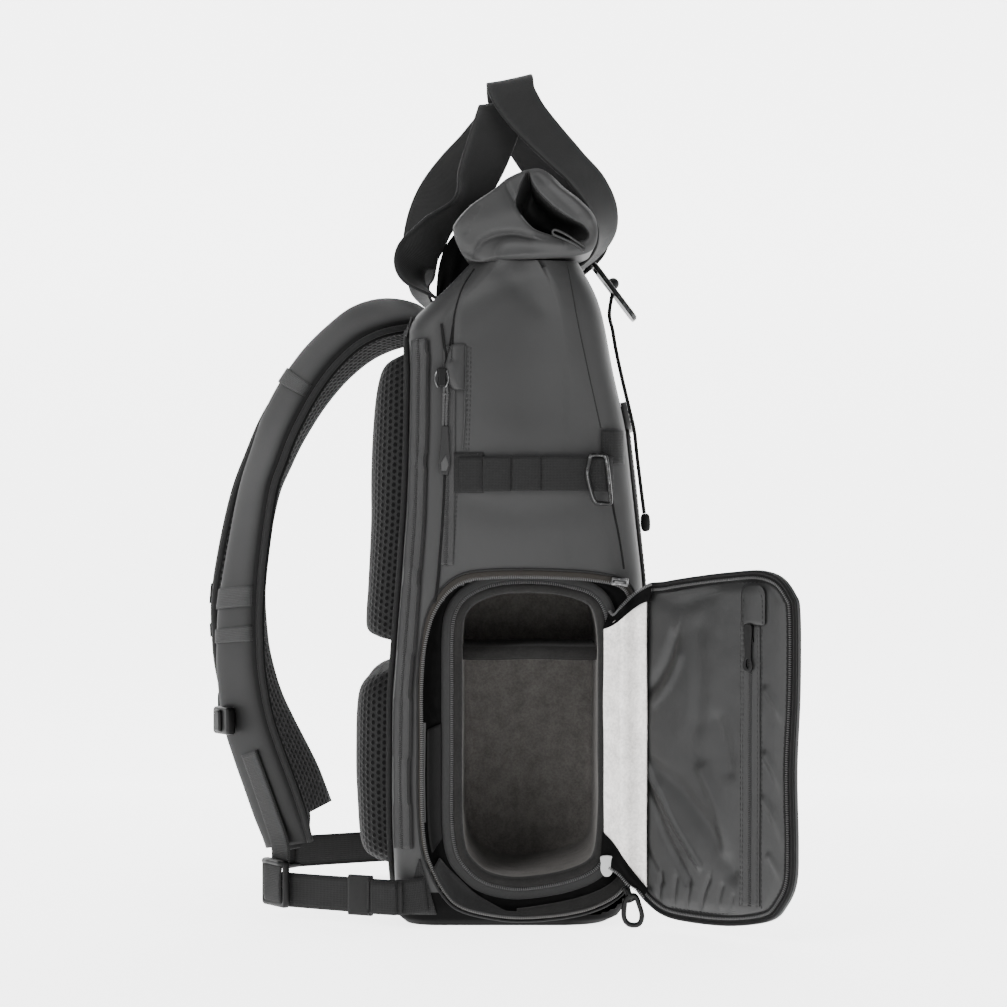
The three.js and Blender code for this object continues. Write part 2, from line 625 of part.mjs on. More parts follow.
// The zip tape round the opening, the gusset inside it and the padded insert.
const openingBand = solid(alongY(openingShape(openingTape), -reach, sideEnd)).subtract(openingCut);
add('opening_zip', skin(seat, tapeThickness).intersect(openingBand), tape);
const gussetRing = solid(alongY(openingShape(-seat), nearSide + 1, nearSide + 1 + gussetDepth))
  .subtract(solid(alongY(openingShape(-seat - gussetCloth), -reach, sideEnd)));
add('opening_gusset', gussetRing.intersect(bagForm(-seat)), bootCloth);

const insertFace = nearSide + 1 + gussetDepth + seat;
const insertBack = openingBack;
const insertFront = openingFront - 6;
const insertHigh = openingHigh + insertWall;
const insertLow = bootFloor + seat;
const insertOuter = solid(alongY(roundedShape(insertBack, insertLow, insertFront, insertHigh,
  [12, 12, 20, 20]), insertFace, insertFace + insertReach));
const cavityBack = insertBack + insertWall;
const cavityFront = insertFront - insertWall;
const cavityLow = insertLow + insertFloor;
const cavityHigh = insertHigh - insertWall;
const insertCavity = solid(alongY(roundedShape(cavityBack, cavityLow, cavityFront, cavityHigh,
  [16, 16, 22, 22]), insertFace - insertWall, insertFace + insertReach - insertWall));
add('camera_insert', insertOuter.subtract(insertCavity), felt);
const dividerLow = cavityLow + 0.76 * (cavityHigh - cavityLow);
add('insert_divider', alongY(box(cavityBack + seat, dividerLow, cavityFront - seat, dividerLow + dividerThickness),
  insertFace + 0.22 * insertReach, insertFace + insertReach - insertWall - seat), felt);

// The light lining panel: out of the insert, through the opening and round onto the flap.
const liningClear = tapeThickness + 3 * seat + liningThickness / 2;
const liningEdge = openingFront - seat - gussetCloth - seat - liningThickness;
const liningRows = [
  { x: cavityFront + 3, y: insertFace - seat - liningThickness, low: 0.24, high: 0.86 },
  { x: liningEdge, y: nearSide + 3.5, low: 0.22, high: 0.87 },
  { x: liningEdge + 1, y: nearSide - 1.6, low: 0.20, high: 0.88 },
  { x: hinge.x + 0.5 - liningClear * 0.3, y: hinge.y - 1 - liningClear, low: 0.14, high: 0.91 },
  { x: hinge.x + 4, y: hinge.y - 9.2, low: 0.10, high: 0.93 },
];
function liningPanel() {
  const height = openingHigh - openingLow;
  const near = [];
  const away = [];
  liningRows.forEach((row, step) => {
    const before = liningRows[Math.max(0, step - 1)];
    const after = liningRows[Math.min(liningRows.length - 1, step + 1)];
    const turn = Math.atan2(after.y - before.y, after.x - before.x) + Math.PI / 2;
    const aside = new THREE.Vector2(Math.cos(turn), Math.sin(turn)).multiplyScalar(liningThickness / 2);
    near.push(new THREE.Vector2(row.x, row.y).sub(aside));
    away.unshift(new THREE.Vector2(row.x, row.y).add(aside));
  });
  const plan = new THREE.Shape([...near, ...away]);
  const wall = solid(new THREE.ExtrudeGeometry(plan, { depth: bagHeight, bevelEnabled: false }));
  const ends = [liningRows[0], ...liningRows, liningRows[liningRows.length - 1]].map((row, step, rows) => {
    const past = step === 0 ? -2 * liningThickness : step === rows.length - 1 ? 2 * liningThickness : 0;
    return { x: row.x + past, low: openingLow + row.low * height, high: openingLow + row.high * height };
  });
  const lowLine = ends.map((end) => new THREE.Vector2(end.x, end.low));
  const highLine = ends.map((end) => new THREE.Vector2(end.x, end.high)).reverse();
  return wall.intersect(solid(alongY(new THREE.Shape([...lowLine, ...highLine]), -reach, 0)));
}
add('lining_panel', liningPanel(), lightFelt);

// Sliders at both ends of the opening's zip, and the insert's own pull.
function onSide(left, low, right, high, gap, thickness, corner = 1.5) {
  return skin(gap, thickness).intersect(solid(alongY(
    roundedShape(left, low, right, high, [corner, corner, corner, corner], 2), -reach, sideEnd)));
}
const overTape = tapeThickness + 2 * seat;
const topSlider = onSide(openingFront - 8, openingHigh + 2, openingFront + 3, openingHigh + 8, overTape,
  sliderHeight);
add('opening_slider_top', topSlider, plastic);
const bottomSlider = onSide(openingFront - 3, openingLow - 8, openingFront + 7, openingLow + 9, overTape,
  sliderHeight);
add('opening_slider_bottom', bottomSlider, plastic);
add('insert_pull', alongY(roundedShape(cavityFront + 0.5, openingLow + 18, cavityFront + 7, openingLow + 32,
  [3, 3, 1, 1], 2), insertFace - 2.4, insertFace - seat), lightFelt);

// The side strap: patch, looped webbing and hook buckle.
const sideLow = 0.651 * bagHeight;
const sideHigh = sideLow + webbingWidth + 1;
const patchBack = -0.21 * bagDepth;
const patchFront = -0.105 * bagDepth;
add('side_patch', onSide(patchBack, sideLow - 0.5, patchFront, sideHigh + 0.5, seat, patchThickness), webbing);
// Each row is a place along the strap: x is a share of the bag's depth, lift the height of the
// loop over the panel as a share of the webbing's width.
const loopRows = [
  { x: -0.198, lift: 0.00 }, { x: -0.150, lift: 0.00 }, { x: -0.135, lift: 0.14 }, { x: -0.075, lift: 0.19 },
  { x: -0.015, lift: 0.14 }, { x: 0.005, lift: 0.00 }, { x: 0.025, lift: 0.14 }, { x: 0.085, lift: 0.20 },
  { x: 0.150, lift: 0.14 }, { x: 0.172, lift: 0.00 }, { x: 0.195, lift: 0.12 }, { x: 0.260, lift: 0.18 },
  { x: 0.300, lift: 0.14 },
];
const strapMiddle = (sideLow + sideHigh) / 2;
const sideRow = between(strapMiddle / bagHeight);

function sideDepth(x) {
  const start = sideRow.back * bagDepth + backCorner;
  const end = sideRow.front * bagDepth - frontCorner;
  const share = THREE.MathUtils.clamp((x - start) / (end - start), 0, 1);
  return -sideRow.half * bagWidth - sideRow.side * bagDepth * 4 * share * (1 - share);
}
const overPatch = patchThickness + 2 * seat;
const loopSweep = loopRows.map((row) => {
  const x = row.x * bagDepth;
  const y = sideDepth(x) - overPatch - webbingThickness / 2 - row.lift * webbingWidth;
  return { at: new THREE.Vector3(x, y, strapMiddle), across: new THREE.Vector3(0, 0, 1) };
});
const loopCut = bagForm(overPatch);
const sideStrap = solid(sweep(loopSweep, webbingWidth, webbingThickness, flatSides)).subtract(loopCut);
add('side_strap', sideStrap, webbing);

const strapEndPlace = loopSweep[loopSweep.length - 1].at;
const buckleBack = strapEndPlace.x + 2 * seat;
const buckleWindow = (from, to) => solid(alongY(
  box(from, -buckleHigh / 2 + buckleBar, to, buckleHigh / 2 - buckleBar), -2 * buckleDeep, buckleDeep));
const bucklePlate = solid(alongY(
  roundedShape(0, -buckleHigh / 2, buckleWide, buckleHigh / 2, [3, 3, 3, 3], 2), -buckleDeep, 0));
const buckle = add('side_buckle', bucklePlate
  .subtract(buckleWindow(buckleBar, buckleWide / 2 - 1.2))
  .subtract(buckleWindow(buckleWide / 2 + 1.2, buckleWide - buckleBar)), metal);
buckle.position.set(buckleBack, strapEndPlace.y + buckleDeep / 2, strapMiddle);
buckle.rotation.z = THREE.MathUtils.degToRad(6);

// The zipped side pocket behind the strap.
const pocketBack = -0.267 * bagDepth;
const pocketFront = -0.206 * bagDepth;
const pocketZipLow = 0.541 * bagHeight;
const pocketZipHigh = 0.871 * bagHeight;
const pocketZip = onSide(pocketBack, pocketZipLow, patchBack - seat, pocketZipHigh, seat, tapeThickness, 2);
add('side_pocket_zip', pocketZip, tape);
const garageLow = 0.805 * bagHeight;
const garage = onSide(pocketBack + 3, garageLow, pocketFront + 6, garageLow + 33, overTape, patchThickness, 3);
add('side_pocket_garage', garage, coated);
const pullMiddle = pocketBack + 1.5;
const slider = onSide(pullMiddle - 4, garageLow + 3, pullMiddle + 1, garageLow + 15, overTape, sliderHeight);
add('side_pocket_slider', slider, plastic);
const pullLine = roundedShape(pullMiddle - 5, garageLow - pullLength, pullMiddle + 3.4, garageLow - 1,
  [4, 4, 1.5, 1.5], 2);
add('side_pocket_pull', skin(overTape, pullThickness).intersect(solid(alongY(pullLine, -reach, sideEnd))), plastic);

// The webbing loop on the front gusset.
const loopLow = 0.693 * bagHeight;
const frontLoop = skin(seat, webbingThickness).intersect(solid(alongY(
  roundedShape(0.362 * bagDepth, loopLow, 0.448 * bagDepth, loopLow + 24, [2, 2, 2, 2], 2), -reach, sideEnd)));
add('front_loop', frontLoop, webbing);

// The lower end of each shoulder strap: a webbing tail, the ladder lock, the webbing from it to
// the base, and the tab that holds it there.
const upright = new THREE.Vector3(0, 0, 1);

function outward(row, sign) {
  return new THREE.Vector3(-1, -sign * row.lean, 0).normalize();
}

// Turns a solid that is drawn round the origin about the vertical and puts it in its place.
function placed(form, direct, place) {
  const turn = THREE.MathUtils.radToDeg(Math.atan2(direct.y, direct.x));
  return form.rotate([0, 0, turn]).translate([place.x, place.y, place.z]);
}

function lockPlate(room) {
  const wide = webbingWidth / 2 + lockRim + room;
  const high = lockHigh / 2 + room;
  const deep = lockDeep / 2 + room;
  return solid(alongX(roundedShape(-wide, -high, wide, high, [3, 3, 3, 3], 2), -deep, deep));
}

function lockWindow(low, high) {
  return solid(alongX(box(-webbingWidth / 2, low, webbingWidth / 2, high), -lockDeep, lockDeep));
}

function lowerHarness(side) {
  const sign = side === 'left' ? -1 : 1;
  const lastRow = strapRows[strapRows.length - 1];
  const strapEnd = strapPlace(lastRow, side);
  const out = outward(lastRow, sign);
  const tailStand = strapThickness * 0.525 + seat + webbingThickness / 2;
  const lockStand = tailStand + (webbingThickness + lockDeep) / 2 + seat;
  const lockMiddle = strapEnd.at.clone().addScaledVector(out, lockStand);
  lockMiddle.z = lockHigh / 2 + lockClear;
  const open = lockHigh / 2 - lockRim;
  const lock = lockPlate(0).subtract(lockWindow(2, open)).subtract(lockWindow(-open, -2));
  add(`ladder_lock_${side}`, placed(lock, out, lockMiddle), plastic);

  const tailRows = [4, 3, 2, 1].map((step) => {
    const row = strapRows[strapRows.length - step];
    const place = strapPlace(row, side);
    return { at: place.at.addScaledVector(outward(row, sign), tailStand), across: place.across };
  });
  const tailFoot = strapEnd.at.clone().addScaledVector(out, tailStand);
  tailFoot.z = lowerMiddle + webbingWidth / 2 + 3;
  tailRows.push({ at: tailFoot, across: strapEnd.across });
  const tail = solid(sweep(tailRows, webbingWidth, webbingThickness, flatSides));
  const lockRoom = placed(lockPlate(seat), out, lockMiddle);
  add(`strap_tail_${side}`, tail.subtract(strapForm(side, seat)).subtract(lockRoom), webbing);

  const sideFace = sign * (between(0.065).half * bagWidth + webbingThickness * 1.5 + 3 * seat);
  const corner = new THREE.Vector3(-0.44 * bagDepth, sideFace, lowerMiddle);
  const webStart = new THREE.Vector3(lockMiddle.x, lockMiddle.y, lowerMiddle);
  const along = (share) => webStart.clone().lerp(corner, share);
  const bow = new THREE.Vector3(0, sign, 0);
  const webPath = [webStart, along(0.4).addScaledVector(bow, 1.5), along(0.7).addScaledVector(bow, 1.5), corner,
    new THREE.Vector3(-0.33 * bagDepth, sideFace, lowerMiddle + 2)];
  const webRows = webPath.map((at) => ({ at, across: upright }));
  const web = solid(sweep(webRows, webbingWidth, webbingThickness, flatSides));
  add(`lower_webbing_${side}`, web.subtract(bagForm(webbingThickness + 2 * seat)).subtract(lockRoom), webbing);

  const tabEdge = openingBack - openingTape;
  const tabShape = new THREE.Shape([[tabEdge - 0.5, tabHigh], [tabEdge + 11, tabLow], [tabEdge - 11, tabLow - 2],
    [tabEdge - 8, tabLow + 18]].map(([x, z]) => new THREE.Vector2(x, z)));
  const from = side === 'left' ? -reach : 0;
  const tab = skin(seat, webbingThickness).intersect(solid(alongY(tabShape, from, from + reach)));
  add(`anchor_tab_${side}`, tab, webbing);
  return webPath;
}
const leftWeb = lowerHarness('left');
lowerHarness('right');

// The folded end of the left webbing and the keeper that the webbing runs through.
const keeperRun = leftWeb[3].clone().sub(leftWeb[1]).normalize();
const keeperPlace = leftWeb[2];

function aroundWebbing(room, length) {
  const deep = webbingThickness / 2 + room;
  const high = webbingWidth / 2 + room;
  return solid(alongX(box(-deep, -high, deep, high), -length / 2, length / 2));
}
const keeper = aroundWebbing(keeperWall, keeperLength).subtract(aroundWebbing(2 * seat, 2 * keeperLength));
add('webbing_keeper_left', placed(keeper, keeperRun, keeperPlace), webbing);
const bundleRun = leftWeb[3].clone().sub(leftWeb[2]).normalize();
const bundleSide = new THREE.Vector3(bundleRun.y, -bundleRun.x, 0);
const bundlePlace = keeperPlace.clone().addScaledVector(bundleRun, (keeperLength + bundleLength) / 2)
  .addScaledVector(bundleSide, (webbingThickness + bundleThickness) / 2 + 1.4 * seat);
const bundleShape = roundedShape(-bundleLength / 2, -webbingWidth / 2, bundleLength / 2, webbingWidth / 2 - 1,
  [5, 5, 5, 5], 3);
const bundle = solid(alongY(bundleShape, -bundleThickness / 2, bundleThickness / 2));
const bundleSeat = bagForm(webbingThickness + 2 * seat);
add('strap_bundle_left', placed(bundle, bundleRun, bundlePlace).subtract(bundleSeat), webbing);

// The sternum clips slide on the outer face of the shoulder straps.
function sternumClip(side) {
  const sign = side === 'left' ? -1 : 1;
  const row = strapRows[13];
  const place = strapPlace(row, side);
  const out = outward(row, sign);
  const middle = place.at.clone().addScaledVector(place.across, 0.26 * strapWidth)
    .addScaledVector(out, (strapThickness + clipThickness) / 2);
  const block = new THREE.BoxGeometry(clipThickness, clipWidth, clipHeight)
    .rotateZ(Math.atan2(out.y, out.x)).translate(middle.x, middle.y, middle.z);
  add(`sternum_clip_${side}`, solid(mergeReady(block)).subtract(strapForm(side, seat)), plastic);
}
sternumClip('left');
sternumClip('right');

// The front closure: a strap from the roll, its hook, and a cord with a bead that hangs from it.
const hookTop = new THREE.Vector3(0.63 * rollDepth, 0, bagHeight + 0.136 * rollHeight);
const hookLean = THREE.MathUtils.degToRad(37);
const hookRun = new THREE.Vector3(Math.sin(hookLean), 0, -Math.cos(hookLean));
const hookOut = new THREE.Vector3(Math.cos(hookLean), 0, Math.sin(hookLean));
const acrossFront = new THREE.Vector3(0, 1, 0);
const hookRows = [0, 0.5, 1].map((share) => ({
  at: hookTop.clone().addScaledVector(hookRun, hookLength * share), across: acrossFront,
}));
const strapRowsFront = [
  { at: new THREE.Vector3(0.423 * rollDepth, 0, bagHeight + 0.273 * rollHeight), across: acrossFront },
  { at: new THREE.Vector3(0.522 * rollDepth, 0, bagHeight + 0.258 * rollHeight), across: acrossFront },
  { at: hookTop.clone().addScaledVector(hookRun, -webbingThickness - seat), across: acrossFront },
];
const hookStrap = solid(sweep(strapRowsFront, webbingWidth, webbingThickness, flatSides));
add('hook_strap', hookStrap.subtract(rollRoom), webbing);

const beadPlace = hookTop.clone().addScaledVector(hookRun, 0.4 * hookLength)
  .addScaledVector(hookOut, 0.79 * beadRadius);
const ball = (radius) => mergeReady(new THREE.IcosahedronGeometry(radius, 1));
add('cord_bead', ball(beadRadius), plastic).position.copy(beadPlace);

// The cord's route, chosen by hand: down is a share of its drop under the bead, and clear is how
// far it hangs before the bag's front, in cord diameters.
const cordRows = [
  { down: 0.105, clear: 3.2 }, { down: 0.18, clear: 2.55 }, { down: 0.26, clear: 2.3 }, { down: 0.35, clear: 2.3 },
  { down: 0.44, clear: 2.35 }, { down: 0.54, clear: 2.4 }, { down: 0.63, clear: 2.4 }, { down: 0.72, clear: 2.4 },
  { down: 0.81, clear: 2.45 }, { down: 0.91, clear: 2.55 }, { down: 1.00, clear: 2.7 },
];
const cordTop = beadPlace.clone().add(new THREE.Vector3(0, 0, -beadRadius - seat));
const cordPoints = [cordTop, ...cordRows.map((row) => {
  const height = cordTop.z - row.down * cordDrop;
  const front = between(height / bagHeight);
  const face = (front.front + front.face) * bagDepth;
  return new THREE.Vector3(face + row.clear * cordDiameter, 0, height);
})];
const cordPath = new THREE.CatmullRomCurve3(cordPoints);
const cordSides = 8;

function cordTube(diameter) {
  const section = new THREE.Shape(Array.from({ length: cordSides }, (_, side) => {
    const angle = 2 * Math.PI * side / cordSides;
    return new THREE.Vector2(Math.cos(angle) * diameter / 2, Math.sin(angle) * diameter / 2);
  }));
  const drawn = { steps: 24, extrudePath: cordPath, bevelEnabled: false };
  return mergeReady(new THREE.ExtrudeGeometry(section, drawn));
}
add('front_cord', cordTube(cordDiameter), webbing);
const plateRoom = solid(cordTube(cordDiameter + 2 * seat))
  .add(solid(ball(beadRadius + seat)).translate([beadPlace.x, beadPlace.y, beadPlace.z]));
const hookPlate = solid(sweep(hookRows, hookWidth, hookThickness, flatSides)).subtract(seatForm);
add('hook_plate', hookPlate.subtract(plateRoom), metal);
const cordFoot = cordPoints[cordPoints.length - 1];
const endBack = cordFoot.x - cordDiameter;
const endFront = cordFoot.x + 1.5 * cordDiameter;
const endShape = roundedShape(endBack, cordFoot.z - cordEndLength, endFront, cordFoot.z - seat, [3, 3, 2, 2], 2);
add('cord_end', alongY(endShape, -cordDiameter, cordDiameter), plastic);

export default bag;
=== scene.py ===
# %% [markdown]
# # A roll-top camera backpack, rebuilt as cloth, webbing and zips
#
# The imported model gives the frame: every piece has its place and size there. This script builds the
# same pieces again as soft, smooth forms with fabric materials, lights them as a product photo is lit,
# and hides the fixed nodes that the pieces stand for.
#
# Lengths are in metres. +X is the bag's front, -X the harness, -Y the side with the open flap.

import math
import random

import bmesh
import bpy
import numpy as np
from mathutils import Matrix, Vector, noise
from mathutils.bvhtree import BVHTree


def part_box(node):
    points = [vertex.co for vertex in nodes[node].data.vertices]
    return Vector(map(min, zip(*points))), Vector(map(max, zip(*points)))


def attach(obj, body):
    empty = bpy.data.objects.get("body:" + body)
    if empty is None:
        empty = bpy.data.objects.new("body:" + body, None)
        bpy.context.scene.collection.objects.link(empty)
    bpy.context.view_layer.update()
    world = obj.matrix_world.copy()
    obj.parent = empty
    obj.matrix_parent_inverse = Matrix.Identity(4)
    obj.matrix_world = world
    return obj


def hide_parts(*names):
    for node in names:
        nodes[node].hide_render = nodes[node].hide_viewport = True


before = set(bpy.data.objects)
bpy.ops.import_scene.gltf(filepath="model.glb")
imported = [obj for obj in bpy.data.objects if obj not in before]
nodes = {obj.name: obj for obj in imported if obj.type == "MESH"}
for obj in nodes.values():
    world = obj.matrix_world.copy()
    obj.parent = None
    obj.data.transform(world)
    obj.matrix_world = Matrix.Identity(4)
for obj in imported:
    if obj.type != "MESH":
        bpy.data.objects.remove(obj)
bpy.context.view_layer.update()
mm = 0.001
random.seed(4)
print("frame nodes:", len(nodes))

# %% [markdown]
# ## The camera, the floor and the light
#
# The photo looks square at the bag's left side from about two metres, so one pixel is 0.7 mm at
# the near side panel. The floor is a plain pale sheet that bends up behind the bag. A wide soft
# light hangs to the upper left, a weaker one to the right, and the sky fills the rest.

# %% Camera and stage
camera_data = bpy.data.cameras.new("camera")
camera_data.lens = 101.0
camera_data.sensor_width = 36.0
camera = bpy.data.objects.new("camera", camera_data)
camera.location = (-4.6 * mm, -2152.5 * mm, 300.5 * mm)
camera.rotation_euler = (math.radians(90), 0, 0)
bpy.context.scene.collection.objects.link(camera)
bpy.context.scene.camera = camera


def soft_light(name, place, aim, size, power):
    """A square area light that looks from one place to another."""
    data = bpy.data.lights.new(name, "AREA")
    data.size = size
    data.energy = power
    lamp = bpy.data.objects.new(name, data)
    lamp.location = place
    lamp.rotation_euler = (Vector(aim) - Vector(place)).to_track_quat("-Z", "Y").to_euler()
    bpy.context.scene.collection.objects.link(lamp)


soft_light("key_light", (-1.3, -1.9, 1.3), (0, 0, 0.28), 1.1, 40)
soft_light("fill_light", (1.9, -1.4, 0.9), (0, 0, 0.25), 1.2, 10)
soft_light("top_light", (0.1, -0.2, 2.0), (0, 0, 0.3), 0.9, 12)
soft_light("bay_light", (0.1, -2.0, 0.1), (0, 0, 0.2), 0.5, 2)
world = bpy.data.worlds.new("studio")
world.use_nodes = True
world.node_tree.nodes["Background"].inputs["Color"].default_value = (0.92, 0.93, 0.95, 1)
world.node_tree.nodes["Background"].inputs["Strength"].default_value = 0.5
bpy.context.scene.world = world
print("camera at", tuple(round(v, 3) for v in camera.location))

# %% [markdown]
# ## Shader maths
#
# A procedural material is arithmetic on sockets. `Shade` wraps one socket, so that `a * 2 + b`
# writes the Math nodes. `Finish` holds a material: `node` adds any node by its type, settings
# and socket values, and a few short methods name the textures used below.


# %% Shader classes
class Shade:
    """One socket of a shader that takes part in arithmetic."""

    def __init__(self, finish, socket):
        self.finish = finish
        self.socket = socket

    def math(self, operation, *others):
        values = {number + 1: other for number, other in enumerate(others)}
        made = self.finish.node("ShaderNodeMath", {"operation": operation}, {0: self, **values})
        return Shade(self.finish, made.outputs[0])

    def __add__(self, other):
        return self.math("ADD", other)

    def __radd__(self, other):
        return self.math("ADD", other)

    def __sub__(self, other):
        return self.math("SUBTRACT", other)

    def __rsub__(self, other):
        return (self * -1.0).math("ADD", other)

    def __mul__(self, other):
        return self.math("MULTIPLY", other)

    def __truediv__(self, other):
        return self.math("DIVIDE", other)

    def wave(self, pitch, shift=0.0):
        """A smooth wave from 0 to 1 that comes back every pitch."""
        return ((self / pitch + shift) * (2 * math.pi)).math("SINE") * 0.5 + 0.5

    def step(self, low, high):
        """0 below low, 1 above high and a smooth rise between them."""
        made = self.finish.node(
            "ShaderNodeMapRange",
            {"interpolation_type": "SMOOTHSTEP"},
            {"Value": self, "From Min": low, "From Max": high},
        )
        return Shade(self.finish, made.outputs[0])


class Finish:
    """A material and the tools to write its nodes."""

    def __init__(self, name, colour, roughness, **settings):
        self.material = bpy.data.materials.new(name)
        self.material.use_nodes = True
        self.tree = self.material.node_tree
        self.shader = self.tree.nodes["Principled BSDF"]
        self.set("Base Color", (*colour, 1))
        self.set("Roughness", roughness)
        self.set("Specular IOR Level", 0.5)
        for socket, value in settings.items():
            self.set(socket.replace("_", " "), value)

    def set(self, socket, value):
        self.plug(self.shader.inputs[socket], value)
        return self

    def plug(self, socket, value):
        if isinstance(value, Shade):
            value = value.socket
        if isinstance(value, bpy.types.NodeSocket):
            self.tree.links.new(value, socket)
        else:
            socket.default_value = value

    def node(self, kind, settings, values):
        made = self.tree.nodes.new(kind)
        for key, value in settings.items():
            setattr(made, key, value)
        for key, value in values.items():
            self.plug(made.inputs[key], value)
        return made

    def place(self, output="Object"):
        return self.node("ShaderNodeTexCoord", {}, {}).outputs[output]

    def across_along(self):
        """The piece's own two directions, in metres: across the band and along it."""
        split = self.node("ShaderNodeSeparateXYZ", {}, {0: self.place("UV")})
        return Shade(self, split.outputs["X"]), Shade(self, split.outputs["Y"])

    def noise(self, scale, detail=3.0, roughness=0.5, output="Object"):
        values = {
            "Vector": self.place(output), "Scale": scale, "Detail": detail, "Roughness": roughness
        }
        return Shade(self, self.node("ShaderNodeTexNoise", {}, values).outputs[0])

    def mix(self, share, one, two):
        made = self.node(
            "ShaderNodeMix", {"data_type": "RGBA"}, {0: share, 6: (*one, 1), 7: (*two, 1)}
        )
        return made.outputs[2]

    def bump(self, height, distance, strength=1.0):
        made = self.node(
            "ShaderNodeBump", {}, {"Strength": strength, "Distance": distance, "Height": height}
        )
        return self.set("Normal", made.outputs[0])


print("shader classes ready")

# %% [markdown]
# ## The fabrics
#
# Each fabric says how its yarn runs. The bands carry a UV map in metres, so a weave with a pitch
# of 0.9 mm stays that size on every strap. The coated cloth, the felts and the mouldings take
# their grain from noise in the object's own space.


# %% Materials
def grey(value, warm=0.0):
    """A grey given as the share of white seen on screen, as linear red, green and blue."""
    linear = value**2.2
    return (linear * (1 + warm), linear, linear * (1 - warm))


def coated_cloth(name, value, roughness=0.56, shine=0.26):
    """Woven cloth under a matt coating: nearly plain, with soft uneven patches."""
    f = Finish(name, grey(value), roughness, Specular_IOR_Level=shine)
    patches = f.noise(9, 4).step(0.25, 0.75)
    f.set("Base Color", f.mix(patches, grey(value * 0.965), grey(value * 1.035)))
    grain = f.noise(1500, 2, 0.6)
    f.set("Roughness", roughness - 0.05 + patches * 0.06 + grain * 0.05)
    f.bump(grain * 0.7 + f.noise(420, 2) * 0.5, 0.00012, 0.35)
    return f.material


def webbing_cloth(name, value, pitch=0.0012, rib=0.0016, cross=0.4, worn=0.25):
    """Ribbed webbing: weft ribs cross the band, and warp yarns run along it."""
    f = Finish(name, grey(value), 0.78, Specular_IOR_Level=0.15, Sheen_Weight=0.03)
    u, v = f.across_along()
    lean = f.noise(500, 2, output="UV") * 0.0003
    ribs = (v + lean).wave(pitch)
    yarns = (u + lean).wave(rib)
    cloth = ribs * (1 - cross) + yarns * cross
    fuzz = f.noise(900, 2)
    f.set("Base Color", f.mix(cloth * 0.8 + fuzz * worn, grey(value * 0.72), grey(value * 1.2)))
    f.set("Roughness", 0.7 + fuzz * 0.15)
    f.bump(cloth + fuzz * 0.3, 0.0003, 0.8)
    return f.material


def twill_cloth(name, value, pitch=0.0011, slope=0.55):
    """Handle webbing: fine slanting ribs."""
    f = Finish(name, grey(value), 0.72, Specular_IOR_Level=0.15, Sheen_Weight=0.06)
    u, v = f.across_along()
    ribs = (v + u * slope + f.noise(300, 2, output="UV") * 0.0002).wave(pitch)
    fuzz = f.noise(1000, 2)
    f.set("Base Color", f.mix(ribs * 0.7 + fuzz * 0.3, grey(value * 0.75), grey(value * 1.18)))
    f.bump(ribs + fuzz * 0.3, 0.00022, 0.7)
    return f.material


def spacer_mesh(name, value, cell=0.0042):
    """Honeycomb spacer mesh: rows of small hollows between knitted walls, with painted shade in the
    hollows.
    """
    f = Finish(name, grey(value), 0.85, Specular_IOR_Level=0.1, Sheen_Weight=0.06)
    u, v = f.across_along()
    row = (u / cell).math("FLOOR")
    half = (row / 2).math("FRACT") * 2
    x = (u / cell).math("FRACT") - 0.5
    y = (v / (cell * 1.15) + half * 0.5).math("FRACT") - 0.5
    away = (x * x + y * y).math("SQRT")
    shaded_hollow = 1.0 - away.step(0.22, 0.45)
    fuzz = f.noise(1400, 2)
    # Painted shade: the hollows are coloured darker and the walls lighter, as light and shade would
    # fall on them.
    f.set("Base Color", f.mix(shaded_hollow * 0.85 + fuzz * 0.15, grey(value * 1.35), grey(value * 0.35)))
    f.bump(1.0 - shaded_hollow + fuzz * 0.2, 0.0011, 0.9)
    return f.material


def zip_tape(name, value, warm=0.0):
    """Woven tape with a fine herringbone."""
    f = Finish(name, grey(value, warm), 0.8, Specular_IOR_Level=0.15, Sheen_Weight=0.05)
    u, v = f.across_along()
    bone = (v + (u.wave(0.0024) * 0.0006)).wave(0.0009)
    fuzz = f.noise(1200, 2)
    f.set(
        "Base Color", f.mix(bone * 0.7 + fuzz * 0.3, grey(value * 0.7, warm), grey(value * 1.2, warm))
    )
    f.bump(bone + fuzz * 0.3, 0.0002, 0.8)
    return f.material


def felt(name, value, warm=0.0, scale=700, sheen=0.08):
    """Brushed pile: short fibres that catch the light unevenly."""
    f = Finish(name, grey(value, warm), 0.95, Specular_IOR_Level=0.1, Sheen_Weight=sheen)
    fibres = f.noise(scale, 5, 0.65)
    clumps = f.noise(90, 3).step(0.3, 0.7)
    f.set(
        "Base Color",
        f.mix(
            fibres.step(0.3, 0.7) * 0.6 + clumps * 0.4, grey(value * 0.85, warm),
            grey(value * 1.1, warm),
        ),
    )
    f.bump(fibres + clumps * 0.3, 0.0006, 0.7)
    return f.material


def satin_nylon(name, value, roughness=0.42):
    """Thin shiny lining cloth with a very fine cross weave."""
    f = Finish(name, grey(value), roughness, Specular_IOR_Level=0.35)
    u, v = f.across_along()
    grid = u.wave(0.0007) * 0.5 + v.wave(0.0007) * 0.5
    soft = f.noise(35, 3)
    f.set("Base Color", f.mix(grid * 0.5 + soft * 0.5, grey(value * 0.9), grey(value * 1.12)))
    f.set("Roughness", roughness - 0.05 + soft * 0.12)
    f.bump(grid * 0.35 + f.noise(160, 3) * 0.9, 0.0003, 0.5)
    return f.material


def moulded(name, value, roughness=0.42):
    """Moulded plastic or rubber with a fine spark-eroded grain."""
    f = Finish(name, grey(value), roughness, Specular_IOR_Level=0.18)
    grain = f.noise(2600, 2)
    wear = f.noise(120, 4).step(0.45, 0.75)
    f.set("Roughness", roughness - 0.06 + grain * 0.1 + wear * 0.08)
    f.bump(grain, 0.00005, 0.4)
    return f.material


